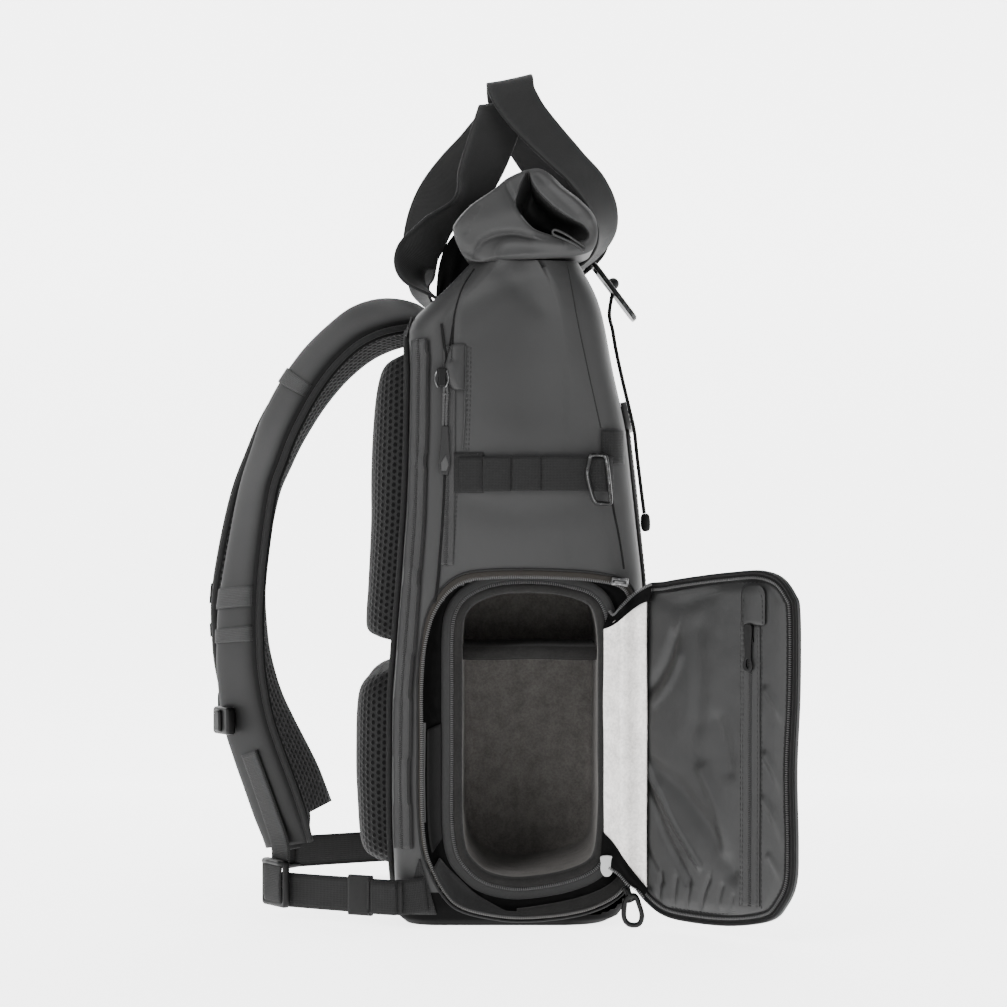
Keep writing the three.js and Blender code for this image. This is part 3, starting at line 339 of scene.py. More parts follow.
def blackened(name, value, roughness=0.34):
    """Coated metal with lighter, rougher scuffed patches."""
    f = Finish(name, grey(value), roughness, Metallic=1.0)
    scuffs = f.noise(260, 5, 0.7).step(0.5, 0.72)
    f.set("Base Color", f.mix(scuffs, grey(value * 0.8), grey(value * 1.5)))
    f.set("Roughness", roughness + scuffs * 0.1)
    f.bump(f.noise(1500, 2), 0.00004, 0.4)
    return f.material


looks = {
    "coated": coated_cloth("coated_cloth", 0.165),
    "boot": coated_cloth("boot_cloth", 0.045, 0.7, 0.05),
    "strap_cloth": coated_cloth("strap_cloth", 0.075, 0.62, 0.1),
    "webbing": webbing_cloth("webbing", 0.11),
    "fine_webbing": webbing_cloth("fine_webbing", 0.11, 0.0010, 0.0011, 0.5),
    "handle": twill_cloth("handle_webbing", 0.12),
    "mesh": spacer_mesh("spacer_mesh", 0.115),
    "tape": zip_tape("zip_tape", 0.20),
    "brown_tape": zip_tape("opening_tape", 0.15, 0.14),
    "binding": zip_tape("binding_tape", 0.12),
    "coil": moulded("zip_coil", 0.33, 0.4),
    "felt": felt("dark_felt", 0.37, 0.06),
    "black_tape": zip_tape("black_tape", 0.05),
    "coil_flap": moulded("flap_coil", 0.30, 0.4),
    "light_rubber": moulded("light_rubber", 0.62, 0.5),
    "thread_cord": webbing_cloth("pull_cord", 0.24, 0.0011, 0.0014, 0.3, 0.1),
    "pull_face": moulded("pull_rubber_face", 0.22, 0.5),
    "felt_band": felt("band_felt", 0.13, 0.03),
    "grey_tape": zip_tape("insert_tape", 0.17),
    "pocket_cloth": coated_cloth("pocket_cloth", 0.09, 0.7, 0.1),
    "light_felt": felt("light_felt", 0.84, 0.035, 500, 0.1),
    "satin": satin_nylon("satin_nylon", 0.105),
    "plastic": moulded("black_plastic", 0.035),
    "metal": blackened("blackened_metal", 0.22),
    # This lighter steel is the top slider's metal, and on thin tubes along edges it is painted
    # highlight.
    "steel": blackened("steel_and_painted_highlight", 0.42, 0.3),
    "rubber": moulded("pull_rubber", 0.13, 0.55),
    "cord": webbing_cloth("cord_braid", 0.08, 0.0014, 0.002, 0.3, 0.1),
    "coil_dark": moulded("dark_coil", 0.16, 0.4),
    "thread": moulded("thread", 0.17, 0.7),
    "floor": Finish(
        "pale_floor", grey(0.95), 0.9, Emission_Color=(1, 1, 1, 1), Emission_Strength=3.4
    ).material,
}
print("materials:", len(looks))

# %% [markdown]
# ## Building tools
#
# Nearly every piece is a grid of points that is closed into a mesh: a band swept along a line, a
# form lofted through rings, or a patch of cloth. Short tables are smoothed with a curve that
# passes through every row, so a table of ten rows gives a hundred rings.


# %% Mesh tools
def smooth_rows(rows, per, closed=False):
    """More rows between those of a table, on a curve through all of them."""
    rows = np.array(rows, float)
    count = len(rows)
    made = []
    spans = count if closed else count - 1
    for span in range(spans):
        picks = [span - 1, span, span + 1, span + 2]
        picks = [p % count if closed else min(max(p, 0), count - 1) for p in picks]
        a, b, c, d = rows[picks]
        for step in range(per):
            t = step / per
            made.append(
                0.5
                * (
                    2 * b
                    + (c - a) * t
                    + (2 * a - 5 * b + 4 * c - d) * t * t
                    + (3 * b - a - 3 * c + d) * t**3
                )
            )
    if not closed:
        made.append(rows[-1])
    return np.array(made)


def closed_curve(rows, per=4):
    """A smooth closed line from a few places in millimetres."""
    return smooth_rows(rows, per, closed=True) * mm


def even_rows(rows, spacing, closed=False):
    """The same line with its points an even distance apart; the first three columns are the place."""
    rows = np.array(rows, float)
    if closed:
        rows = np.vstack([rows, rows[:1]])
    gaps = np.linalg.norm(np.diff(rows[:, :3], axis=0), axis=1)
    run = np.concatenate([[0], np.cumsum(gaps)])
    count = max(2, int(round(run[-1] / spacing)) + 1)
    marks = np.linspace(0, run[-1], count)
    made = np.stack([np.interp(marks, run, rows[:, k]) for k in range(rows.shape[1])], axis=1)
    return made[:-1] if closed else made


def mesh_object(name, points, faces, look, uv=None, sharp=None):
    """A mesh from points and faces, smooth shaded, with an optional UV for each point."""
    data = bpy.data.meshes.new(name)
    data.from_pydata([tuple(p) for p in points], [], [tuple(int(i) for i in f) for f in faces])
    data.update()
    if uv is not None:
        layer = data.uv_layers.new(name="UVMap")
        corners = np.zeros(len(data.loops), int)
        data.loops.foreach_get("vertex_index", corners)
        layer.data.foreach_set("uv", np.array(uv, float)[corners].ravel())
    data.shade_smooth()
    if sharp is not None:
        data.set_sharp_from_angle(angle=math.radians(sharp))
    data.materials.append(looks[look])
    piece = bpy.data.objects.new(name, data)
    bpy.context.scene.collection.objects.link(piece)
    return piece


def grid_faces(rows, columns, wrap_columns=False, wrap_rows=False):
    """The quads of a grid of points, counted row by row."""
    r = np.arange(rows if wrap_rows else rows - 1)
    c = np.arange(columns if wrap_columns else columns - 1)
    r, c = np.meshgrid(r, c, indexing="ij")
    r2, c2 = (r + 1) % rows, (c + 1) % columns
    return np.stack(
        [r * columns + c, r * columns + c2, r2 * columns + c2, r2 * columns + c], axis=-1
    ).reshape(-1, 4)


def grid_piece(name, grid, look, uv=None, closed=False, wrap=False, caps=False, flip=False, sharp=None):
    """A piece from grid[row][column]; closed joins the last column to the first, wrap the rows."""
    grid = np.array(grid, float)
    rows, columns = grid.shape[:2]
    faces = grid_faces(rows, columns, closed, wrap).tolist()
    if caps:
        faces.append(list(range(columns))[::-1])
        faces.append(list(range((rows - 1) * columns, rows * columns)))
    if flip:
        faces = [f[::-1] for f in faces]
    flat_uv = None if uv is None else np.array(uv, float).reshape(-1, 2)
    return mesh_object(name, grid.reshape(-1, 3), faces, look, flat_uv, sharp)


def unit(v):
    """The same directions, each with a length of one."""
    return v / np.maximum(np.linalg.norm(v, axis=-1, keepdims=True), 1e-12)


def same(direction, places):
    """One direction, given again for each place."""
    return np.tile(direction, (len(places), 1))


def tree_of(piece):
    """A piece's faces, ready to be hit by rays."""
    return BVHTree.FromPolygons(
        [v.co.copy() for v in piece.data.vertices], [tuple(p.vertices) for p in piece.data.polygons]
    )


def band_profile(width, thickness, edge=3, across=7):
    """The section of a strap with rounded edges, as (across, proud) pairs in metres."""
    radius = thickness / 2
    points = []
    for side in (1, -1):
        flats = np.linspace(-1, 1, across) * side * (width / 2 - radius)
        points += [(x, -side * radius) for x in flats[:-1]]
        for step in range(edge + 1):
            angle = -math.pi / 2 * side + math.pi * step / edge
            points.append(
                (side * (width / 2 - radius) + radius * math.cos(angle), radius * math.sin(angle))
            )
    return np.array(points)


def frames(places, across):
    """For each place along a line: the direction along it, across it and out of it."""
    along = np.zeros_like(places)
    along[1:-1] = places[2:] - places[:-2]
    along[0], along[-1] = places[1] - places[0], places[-1] - places[-2]
    along = unit(along)
    across = unit(across - along * np.sum(across * along, axis=1, keepdims=True))
    return along, across, np.cross(along, across)


def band(name, places, across, profile, look, closed=False, wide=None, thick=None, sharp=None):
    """A strap, tape or padded band: its profile swept through the places."""
    places, across = np.array(places, float), np.array(across, float)
    along, across, proud = frames(places, across)
    if closed:
        along = unit(np.roll(places, -1, 0) - np.roll(places, 1, 0))
        across = unit(across - along * np.sum(across * along, axis=1, keepdims=True))
        proud = np.cross(along, across)
    run = np.concatenate([[0], np.cumsum(np.linalg.norm(np.diff(places, axis=0), axis=1))])
    wide = np.ones(len(places)) if wide is None else np.array(wide)
    thick = np.ones(len(places)) if thick is None else np.array(thick)
    grid, uv = [], []
    for k in range(len(places)):
        ring = (
            places[k]
            + profile[:, :1] * wide[k] * across[k]
            + profile[:, 1:2] * thick[k] * proud[k]
        )
        grid.append(ring)
        uv.append([(u * wide[k], run[k]) for u in profile[:, 0]])
    return grid_piece(name, grid, look, uv, closed=True, wrap=closed, caps=not closed, sharp=sharp)


def tube(name, places, radius, look, sides=8, closed=False):
    """A round cord along the places."""
    places = np.array(places, float)
    hint = same([0.3, 0.2, 0.93], places)
    angles = np.arange(sides) * 2 * math.pi / sides
    profile = np.stack([np.cos(angles), np.sin(angles)], axis=1) * radius
    return band(name, places, hint, profile, look, closed=closed)


def join(name, pieces):
    """Several pieces as one object that keeps each one's material."""
    bpy.ops.object.select_all(action="DESELECT")
    for piece in pieces:
        piece.select_set(True)
    bpy.context.view_layer.objects.active = pieces[0]
    bpy.ops.object.join()
    pieces[0].name = name
    return pieces[0]


def settle(piece, slot, *stands_for):
    """The piece rides on the frame and hides the nodes that it stands for; slot is not used."""
    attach(piece, "root")
    if stands_for:
        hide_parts(*stands_for)
    return piece


print("tools ready")

# %% [markdown]
# ## The bag's outer form
#
# A row of the table is one height of the bag. The columns are shares of the bag's height, depth
# and width, the same ones that give the fixed frame its form. The rows are smoothed, each
# becomes a rounded ring, and the rings become the cloth.

# %% Sections of the bag
bag_width, bag_depth, bag_height = 305 * mm, 180 * mm, 474 * mm
boot_height = 25 * mm
front_corner, back_corner = 30 * mm, 22 * mm
side_y = -bag_width / 2

#            z      back    front   half   side    face
bag_rows = [
    (0.000, -0.411, 0.378, 0.466, 0.000, 0.000),
    (0.011, -0.440, 0.430, 0.487, 0.000, 0.005),
    (0.030, -0.453, 0.464, 0.497, 0.002, 0.010),
    (0.127, -0.467, 0.508, 0.500, 0.006, 0.022),
    (0.222, -0.472, 0.520, 0.500, 0.008, 0.028),
    (0.348, -0.467, 0.530, 0.500, 0.008, 0.030),
    (0.511, -0.434, 0.526, 0.500, 0.012, 0.030),
    (0.612, -0.414, 0.497, 0.498, 0.020, 0.030),
    (0.751, -0.402, 0.460, 0.494, 0.014, 0.028),
    (0.844, -0.400, 0.408, 0.489, -0.006, 0.024),
    (0.907, -0.405, 0.378, 0.482, -0.022, 0.020),
    (0.930, -0.340, 0.366, 0.478, -0.028, 0.014),
    (0.960, -0.255, 0.336, 0.470, -0.030, 0.008),
    (1.000, -0.155, 0.275, 0.462, -0.020, 0.000),
]
heights = np.array([row[0] for row in bag_rows])
values = np.array([row[1:] for row in bag_rows])


def section(height):
    """back, front, half, side and face at a height in metres, smoothed a little between rows."""
    share = min(max(height / bag_height, 0.0), 1.0)
    window = [-0.014, -0.007, 0, 0.007, 0.014] if 0.06 < share < 0.97 else [0]
    return np.mean(
        [[np.interp(share + w, heights, values[:, k]) for k in range(5)] for w in window], axis=0
    )


def ring(height, grow=0.0, corner_steps=9, side_steps=46):
    """The bag's outline at a height: corners first, then the sides that stand out between them."""
    back, front, half, side, face = section(height)
    back, front, half = back * bag_depth, front * bag_depth, half * bag_width
    corners = [
        (front - front_corner, -half + front_corner, front_corner + grow, -90, face),
        (front - front_corner, half - front_corner, front_corner + grow, 0, side),
        (back + back_corner, half - back_corner, back_corner + grow, 90, 0.0),
        (back + back_corner, -half + back_corner, back_corner + grow, 180, side),
    ]
    points = []
    for number, (x, y, radius, start, stand) in enumerate(corners):
        for step in range(corner_steps + 1):
            angle = math.radians(start + 90 * step / corner_steps)
            points.append((x + radius * math.cos(angle), y + radius * math.sin(angle), height))
        nx, ny, nradius, _, _ = corners[(number + 1) % 4]
        out = math.radians(start + 90)
        ends = (points[-1], (nx + nradius * math.cos(out), ny + nradius * math.sin(out), height))
        for step in range(1, side_steps):
            share = step / side_steps
            lift = stand * bag_depth * 4 * share * (1 - share)
            here = np.array(ends[0]) * (1 - share) + np.array(ends[1]) * share
            points.append(tuple(here + lift * np.array([math.cos(out), math.sin(out), 0])))
    return np.array(points)

print("rows of the bag's form:", len(bag_rows))

# %% [markdown]
# The dents and folds are a short table too. Each row is a line on the side panel in millimetres
# (x towards the front, z up), how wide and how deep the fold is, and how much of it is a step
# from one level to the other instead of a groove.

# %% Folds of the side panel
side_folds = [
    # line on the panel, width, depth (in is positive), share of step
    ([(40, 474), (43, 455), (48, 430), (55, 396), (62, 366), (65, 352)], 9, 2.6, 0.75),
    ([(-41, 402), (-40.4, 423), (-38.9, 437.5), (-33, 455), (-25, 468), (-18, 476)], 3, 1.6, 0.0),
    ([(14, 470), (17, 440), (16, 405), (14, 370)], 20, 1.8, 0.0),
    ([(-30, 452), (-8, 462), (16, 468)], 7, -1.2, 0.0),
    ([(-33, 424), (-12, 440), (8, 450)], 9, -0.9, 0.0),
    ([(-10, 470), (8, 452), (22, 440)], 7, 1.0, 0.0),
    ([(-25, 300), (10, 294), (50, 300)], 11, 0.9, 0.0),
    ([(72.9, 300), (76.5, 281.7), (79.3, 264), (81, 250)], 2.2, 1.5, 0.3),
    ([(64, 353), (66, 330), (69, 310), (73, 300)], 5, 1.0, 0.4),
]
far_folds = 6  # the far side has only the first of them
back_folds = [
    ([(-58, 395), (-57, 330), (-60, 250), (-64, 160)], 6, -0.8, 0.0),
]


def fold_depth(x, z, folds):
    """How far the cloth is pushed in at each point of the panel."""
    total = np.zeros_like(x)
    place = np.stack([x, z], axis=-1) / mm
    for line, width, depth, stepped in folds:
        line = smooth_rows(line, 6)
        nearest = np.full(x.shape, 1e9)
        aside = np.zeros_like(x)
        for a, b in zip(line[:-1], line[1:]):
            run = b - a
            t = np.clip(((place - a) @ run) / (run @ run), 0, 1)
            gap = place - (a + t[..., None] * run)
            away = np.linalg.norm(gap, axis=-1)
            closer = away < nearest
            side = np.sign(gap[..., 0] * run[1] - gap[..., 1] * run[0])
            aside = np.where(closer, side * away, aside)
            nearest = np.where(closer, away, nearest)
        groove = np.exp(-((nearest / width) ** 2))
        # A step rises over about a width, and fades out three widths away.
        step = 0.5 * (1 + np.tanh(aside / (width * 0.45))) * np.exp(-((nearest / (width * 3.2)) ** 2))
        total += depth * mm * (groove * (1 - stepped) + step * stepped)
    return total


def cloth_rings(low, high, grow, spacing=2.2 * mm):
    """The bag's rings between two heights, with the folds pushed in and a slight unevenness."""
    count = int((high - low) / spacing) + 1
    grid = np.array([ring(z, grow) for z in np.linspace(low, high, count)])
    x, y, z = grid[..., 0], grid[..., 1], grid[..., 2]
    inward = np.zeros_like(x)
    near = y < side_y + 30 * mm
    inward[near] = fold_depth(x[near], z[near], side_folds + back_folds)
    far = y > -side_y - 30 * mm
    inward[far] = 0.8 * fold_depth(x[far], z[far], side_folds[:far_folds])
    front = x > 40 * mm
    rumple = np.array([noise.noise(Vector(p) * 14) for p in grid[front].reshape(-1, 3)])
    shift = np.zeros_like(x)
    shift[front] = rumple * 0.9 * mm
    all_over = np.array([noise.noise(Vector(p) * 26 + Vector((3, 1, 7))) for p in grid.reshape(-1, 3)])
    shift += all_over.reshape(x.shape) * 0.35 * mm
    along = np.roll(grid, -1, 1) - np.roll(grid, 1, 1)
    out = unit(np.stack([along[..., 1], -along[..., 0], np.zeros_like(x)], axis=-1))
    return grid + out * (shift - inward)[..., None]


def keep_faces(piece, wanted):
    """Keeps the faces whose middle passes the test."""
    mesh = bmesh.new()
    mesh.from_mesh(piece.data)
    gone = [f for f in mesh.faces if not wanted(f.calc_center_median())]
    bmesh.ops.delete(mesh, geom=gone, context="FACES")
    mesh.to_mesh(piece.data)
    mesh.free()
    return piece


opening_back, opening_front = -52 * mm, 80 * mm
opening_low, opening_high = 18 * mm, 240 * mm
opening_radii = (42 * mm, 20 * mm, 20 * mm, 42 * mm)


def rounded_line(left, low, right, high, radii, steps=10):
    """A closed line round a rectangle; radii go from the low left corner round to the high left."""
    corners = [
        (left + radii[0], low + radii[0], radii[0], 180),
        (right - radii[1], low + radii[1], radii[1], 270),
        (right - radii[2], high - radii[2], radii[2], 0),
        (left + radii[3], high - radii[3], radii[3], 90),
    ]
    points = []
    for x, z, radius, start in corners:
        for step in range(steps + 1):
            angle = math.radians(start + 90 * step / steps)
            points.append((x + radius * math.cos(angle), z + radius * math.sin(angle)))
    return np.array(points)


def inside_line(line, x, z):
    """True where a point is within a closed line."""
    odd = False
    for (ax, az), (bx, bz) in zip(line, np.roll(line, -1, 0)):
        if (az > z) != (bz > z) and x < (bx - ax) * (z - az) / (bz - az) + ax:
            odd = not odd
    return odd


cut_grow = 9 * mm
cut_line = rounded_line(
    opening_back - cut_grow, opening_low - cut_grow, opening_front + cut_grow, opening_high + cut_grow,
    [radius + cut_grow for radius in opening_radii],
)


def outside_opening(place):
    """True for the cloth that stays; the first test passes over all that is far from the hole."""
    if place.y > side_y + 26 * mm or not -0.08 < place.x < 0.1 or place.z > 0.26:
        return True
    return not inside_line(cut_line, place.x, place.z)


def height_uv(grid):
    """A UV in metres from the way round the ring and the height."""
    run = np.cumsum(np.linalg.norm(np.diff(grid, axis=1, prepend=grid[:, :1]), axis=2), axis=1)
    return np.stack([run, grid[..., 2]], axis=-1)


grid = cloth_rings(boot_height - 1 * mm, bag_height, -0.2 * mm)
shell = grid_piece("shell", grid, "coated", height_uv(grid), closed=True)
whole_shell = tree_of(shell)
keep_faces(shell, outside_opening)
settle(shell, "coated_fabric", "main_shell")

grid = cloth_rings(0.4 * mm, boot_height, -0.1 * mm, 1.6 * mm)
boot = grid_piece("boot", grid, "boot", height_uv(grid), closed=True)
boot_tree = tree_of(boot)
keep_faces(boot, outside_opening)
sole = mesh_object("sole", grid[0], [list(range(len(grid[0])))[::-1]], "boot", grid[0][:, :2])
boot = join("boot", [boot, sole])
settle(boot, "base_fabric", "base_boot")
print("shell faces:", len(shell.data.polygons))

# %% [markdown]
# ## Things that lie on the bag
#
# Zips, patches and seams follow the cloth. `on_bag` sends a ray at the cloth from the left side
# or from straight ahead and gives the place and the direction out of it.


# %% Placing on the cloth
ray_start = 0.3  # metres from the middle, well outside the cloth
plain_side, plain_front = 0.13, 0.07  # where a place goes if its ray meets no cloth


def on_bag(x, z, lift=0.0, side=-1):
    """The place on the side panel at x and z, lifted off it, and the direction out of it."""
    tree = boot_tree if z < boot_height else whole_shell
    start = Vector((x, side * ray_start, z))
    place, normal, _, _ = tree.ray_cast(start, Vector((0, -side, 0)))
    if place is None:
        place, normal = Vector((x, side * plain_side, z)), Vector((0, side, 0))
    if normal.y * side < 0:
        normal = -normal
    return np.array(place + normal * lift), np.array(normal)


def on_front(y, z, lift=0.0, side=1):
    """The place on the front, or with side -1 on the back, at y and z."""
    start = Vector((side * ray_start, y, z))
    place, normal, _, _ = whole_shell.ray_cast(start, Vector((-side, 0, 0)))
    if place is None:
        place, normal = Vector((side * plain_front, y, z)), Vector((side, 0, 0))
    if normal.x * side < 0:
        normal = -normal
    return np.array(place + normal * lift), np.array(normal)


def laid(line, lift, caster=on_bag, side=-1, spacing=2 * mm, closed=False):
    """A line of (x, z) or (y, z) pairs laid on the cloth: the places and the directions out of it."""
    flat = np.array([(a, b, 0) for a, b in line], float)
    flat = even_rows(flat, spacing, closed)
    found = [caster(a, b, lift, side) for a, b, _ in flat]
    return np.array([f[0] for f in found]), np.array([f[1] for f in found])


def pegs(name, places, along, out, size, look, shape):
    """Many small blocks, one at each place: zip teeth or stitches. size is (along, across, out)."""
    along, out = unit(along), unit(out)
    out = unit(out - along * np.sum(out * along, axis=1, keepdims=True))
    across = np.cross(out, along)
    half = np.array(size) / 2
    if shape == "tooth":
        corners = [
            (-1, -1, -1), (1, -1, -1), (1, 1, -1), (-1, 1, -1), (-0.6, -0.8, 1), (0.6, -0.8, 1),
            (0.6, 0.8, 1), (-0.6, 0.8, 1),
        ]
        quads = [(4, 5, 6, 7), (0, 1, 5, 4), (1, 2, 6, 5), (2, 3, 7, 6), (3, 0, 4, 7), (3, 2, 1, 0)]
    else:
        corners = [
            (-1, 0, -1), (-0.7, 1, 0), (-0.7, 0, 1), (-0.7, -1, 0), (0.7, 1, 0), (0.7, 0, 1),
            (0.7, -1, 0), (1, 0, -1),
        ]
        quads = [
            (1, 2, 5, 4), (2, 3, 6, 5), (0, 2, 1), (0, 3, 2), (7, 4, 5), (7, 5, 6), (0, 1, 4, 7),
            (0, 7, 6, 3),
        ]
    points, faces = [], []
    for k in range(len(places)):
        base = len(points)
        for a, b, c in corners:
            points.append(
                places[k] + along[k] * a * half[0] + across[k] * b * half[1] + out[k] * c * half[2]
            )
        faces += [[base + i for i in q] for q in quads]
    return mesh_object(name, points, faces, look)


def directions(places, closed=False):
    """The direction along a line at each of its places."""
    along = np.roll(places, -1, 0) - np.roll(places, 1, 0)
    if not closed:
        along[0], along[-1] = places[1] - places[0], places[-1] - places[-2]
    return unit(along)


def row_of_pegs(name, places, out, pitch, size, look, shape, closed):
    """Pegs at even distances along a line."""
    rows = even_rows(np.hstack([places, out]), pitch, closed)
    along = directions(rows[:, :3], closed)
    return pegs(name, rows[:, :3], along, rows[:, 3:], size, look, shape)


def coil(name, places, out, pitch=1.5 * mm, width=2.6 * mm, look="coil", closed=False):
    """The teeth of a coil zip along a line."""
    return row_of_pegs(name, places, out, pitch, (pitch * 0.5, width, 0.9 * mm), look, "tooth", closed)


def stitches(
    name, places, out, pitch=3.6 * mm, length=2.5 * mm, look="thread", thick=0.55 * mm, closed=False
):
    """A row of stitches along a line."""
    return row_of_pegs(name, places, out, pitch, (length, thick, thick), look, "stitch", closed)


def seam(name, line, lift, radius, look, sides=8):
    """A round cord laid on the side's cloth along a line of (x, z) pairs in metres."""
    return tube(name, laid(line, lift)[0], radius, look, sides)


def tape_strip(name, line, offsets, caster, thickness):
    """Flat tape on the cloth along a line; the offsets are its columns, across it."""
    rows, uv = [], []
    for a, b in even_flat(line, 2.5 * mm, closed=False):
        rows.append([caster(a + offset, b, 0.9 * mm)[0] for offset in offsets])
        uv.append([(offset, b) for offset in offsets])
    return thicken(grid_piece(name, rows, "tape", uv, flip=True), thickness)


def plate(name, lines, thickness, bevel, look, place=(0, 0, 0), right=(1, 0, 0), up=(0, 0, 1), steps=2):
    """A flat moulding with a bevelled edge; the first closed line is its edge, the rest its holes."""
    curve = bpy.data.curves.new(name, "CURVE")
    curve.dimensions = "2D"
    curve.fill_mode = "BOTH"
    curve.extrude = max(thickness / 2 - bevel, 1e-5)
    curve.bevel_depth = bevel
    curve.bevel_resolution = steps
    curve.offset = -bevel
    for line in lines:
        spline = curve.splines.new("POLY")
        spline.points.add(len(line) - 1)
        for point, (a, b) in zip(spline.points, line):
            point.co = (a, b, 0, 1)
        spline.use_cyclic_u = True
    drawn = bpy.data.objects.new(name, curve)
    bpy.context.scene.collection.objects.link(drawn)
    data = bpy.data.meshes.new_from_object(drawn)
    bpy.data.objects.remove(drawn)
    right, up = unit(np.array(right, float)), unit(np.array(up, float))
    out = np.cross(right, up)
    for v in data.vertices:
        v.co = Vector(np.array(place) + right * v.co.x + up * v.co.y + out * v.co.z)
    data.materials.clear()
    data.materials.append(looks[look])
    data.shade_smooth()
    data.set_sharp_from_angle(angle=math.radians(42))
    piece = bpy.data.objects.new(name, data)
    bpy.context.scene.collection.objects.link(piece)
    return piece


def lathe(name, profile, look, place, axis=(0, 0, 1), sides=16):
    """A turned form: (radius, height) pairs about an axis."""
    axis = unit(np.array(axis, float))
    side = unit(np.cross(axis, [0.31, 0.85, 0.42]))
    other = np.cross(axis, side)
    grid = []
    for radius, height in profile:
        grid.append(
            [
                np.array(place) + axis * height + (side * math.cos(a) + other * math.sin(a)) * radius
                for a in np.arange(sides) * 2 * math.pi / sides
            ]
        )
    return grid_piece(name, grid, look, closed=True, caps=True, sharp=50)


print("placing tools ready")

# %% [markdown]
# ## The roll
#
# The end of the roll is a lip of cloth round a dark tunnel. The table pairs each place on the
# outer line with one on the lip, in millimetres. Between them the end cap is a patch of cloth
# with its own folds, and from the lip the tunnel runs into the roll.

# %% Roll top
#          outer line       lip of the tunnel
roll_pairs = [
    (12.1, 538.2, 12.8, 536.2), (21.3, 538.9, 15.4, 529.5), (29.9, 534.0, 19.5, 523.0),
    (38.4, 525.6, 25.0, 517.0), (49.8, 516.9, 33.0, 510.0), (60.0, 505.5, 42.0, 504.0),
    (62.5, 493.4, 52.5, 498.0), (60.5, 483.5, 56.0, 491.5), (55.5, 479.2, 52.0, 487.4),
    (46.9, 477.0, 42.7, 487.8), (37.0, 476.0, 32.7, 490.4), (21.3, 475.0, 24.9, 492.7),
    (5.0, 474.6, 19.0, 495.0), (-7.1, 474.0, 16.0, 497.0), (-19.9, 472.8, 12.0, 501.0),
    (-31.2, 475.0, 9.0, 504.8), (-36.9, 483.5, 6.6, 508.0), (-40.5, 494.2, 5.2, 510.8),
    (-39.1, 500.5, 4.2, 513.4), (-28.4, 512.6, 4.2, 517.0), (-12.1, 524.0, 5.6, 522.0),
    (-3.5, 531.1, 7.8, 527.8), (2.9, 534.7, 10.2, 532.4),
]
roll_folds = [
    ([(-24, 482), (-20.5, 487), (-14, 490.6), (-6, 492.6), (4, 492.9), (14, 490.4)], 2.4, 4.2, 0.55),
    ([(-39.5, 485), (-33, 481), (-28.4, 479.2), (-19.9, 472.8)], 3.2, 3.0, 0.3),
    ([(-10, 476), (-9, 481), (-5, 485.5), (4, 487), (20, 486), (37, 484)], 3.5, -2.2, 0.0),
    ([(-21, 512.6), (-26.3, 503.4), (-31.2, 493.4)], 1.0, 1.0, 0.2),
    ([(-3.0, 529.5), (0.2, 522), (4.0, 515.5)], 1.6, 2.8, 0.5),
    ([(38.6, 487.5), (38.4, 482), (37, 476.2)], 0.8, 1.2, 0.3),
    ([(-36, 500), (-14, 505), (4, 512)], 9, -2.0, 0.0),
    ([(30, 528), (44, 517), (56, 503)], 5, -2.2, 0.0),
    ([(20, 534), (34, 520), (48, 507)], 2.5, 0.8, 0.0),
]
roll_end = 145 * mm
roll_middle = 30 * mm
# The tunnel: how deep each ring lies, in millimetres, and its size as a share of the lip.
tunnel_rings = [(62, 0.62), (48, 0.74), (34, 0.84), (20, 0.92), (10, 0.97), (4, 0.995), (1.2, 1.0)]
pairs = closed_curve(roll_pairs, 9)
outer, lip = pairs[:, :2], pairs[:, 2:]


def roll_cap(side):
    """The rings of one end, from deep in the tunnel to the lip and over the end to its rim."""
    rings = []
    middle = lip.mean(axis=0)
    for depth, size in tunnel_rings:
        line = middle + (lip - middle) * size
        rings.append(
            np.stack([line[:, 0], np.full(len(line), roll_end - depth * mm), line[:, 1]], axis=1)
        )
    for step in range(31):
        share = step / 30
        line = lip * (1 - share) + outer * share
        gap = np.linalg.norm(outer - lip, axis=1)
        rim = np.minimum(gap * (1 - share), 4.5 * mm) / (4.5 * mm)
        dome = (1 - (1 - rim) ** 2) * 3.4 * mm - 3.4 * mm
        inner = np.minimum(gap * share, 2.0 * mm) / (2.0 * mm)
        turn = (1 - (1 - inner) ** 2) * 1.2 * mm - 1.2 * mm
        dent = fold_depth(line[:, 0], line[:, 1], roll_folds)
        dent *= np.clip(gap * (1 - share) / (2.5 * mm), 0, 1)
        y = roll_end - 1 * mm + dome + turn - dent
        rings.append(np.stack([line[:, 0], y, line[:, 1]], axis=1))
    rings = np.array(rings)
    rings[..., 1] *= side
    return rings


# The roll is thinner between its ends: the place from one end to the other, and the share.
roll_sag = np.array(
    [(-0.5, 1.0), (-0.44, 0.985), (-0.25, 0.955), (0, 0.94), (0.25, 0.955), (0.44, 0.985), (0.5, 1.0)]
)
middle_rings = []
near_rim, far_rim = roll_cap(-1)[-1], roll_cap(1)[-1]
for share in np.linspace(0.012, 0.988, 96):
    ring_points = near_rim * (1 - share) + far_rim * share
    sag = np.interp(share - 0.5, roll_sag[:, 0], roll_sag[:, 1])
    ring_points[:, 0] = roll_middle + (ring_points[:, 0] - roll_middle) * sag
    ring_points[:, 2] = bag_height + (ring_points[:, 2] - bag_height) * sag
    wobble = np.array(
        [noise.noise(Vector((p[0] * 30, p[1] * 9, p[2] * 30))) for p in ring_points]
    )
    ring_points[:, 2] += wobble * 1.6 * mm * np.sin(math.pi * share)
    ring_points[:, 0] += wobble * 0.8 * mm * np.sin(math.pi * share)
    middle_rings.append(ring_points)
roll_grid = np.concatenate([roll_cap(-1), np.array(middle_rings), roll_cap(1)[::-1]])
roll_uv = np.stack([roll_grid[..., 0], roll_grid[..., 2]], axis=-1)
roll = grid_piece("roll", roll_grid, "coated", roll_uv, closed=True, caps=True, flip=True)
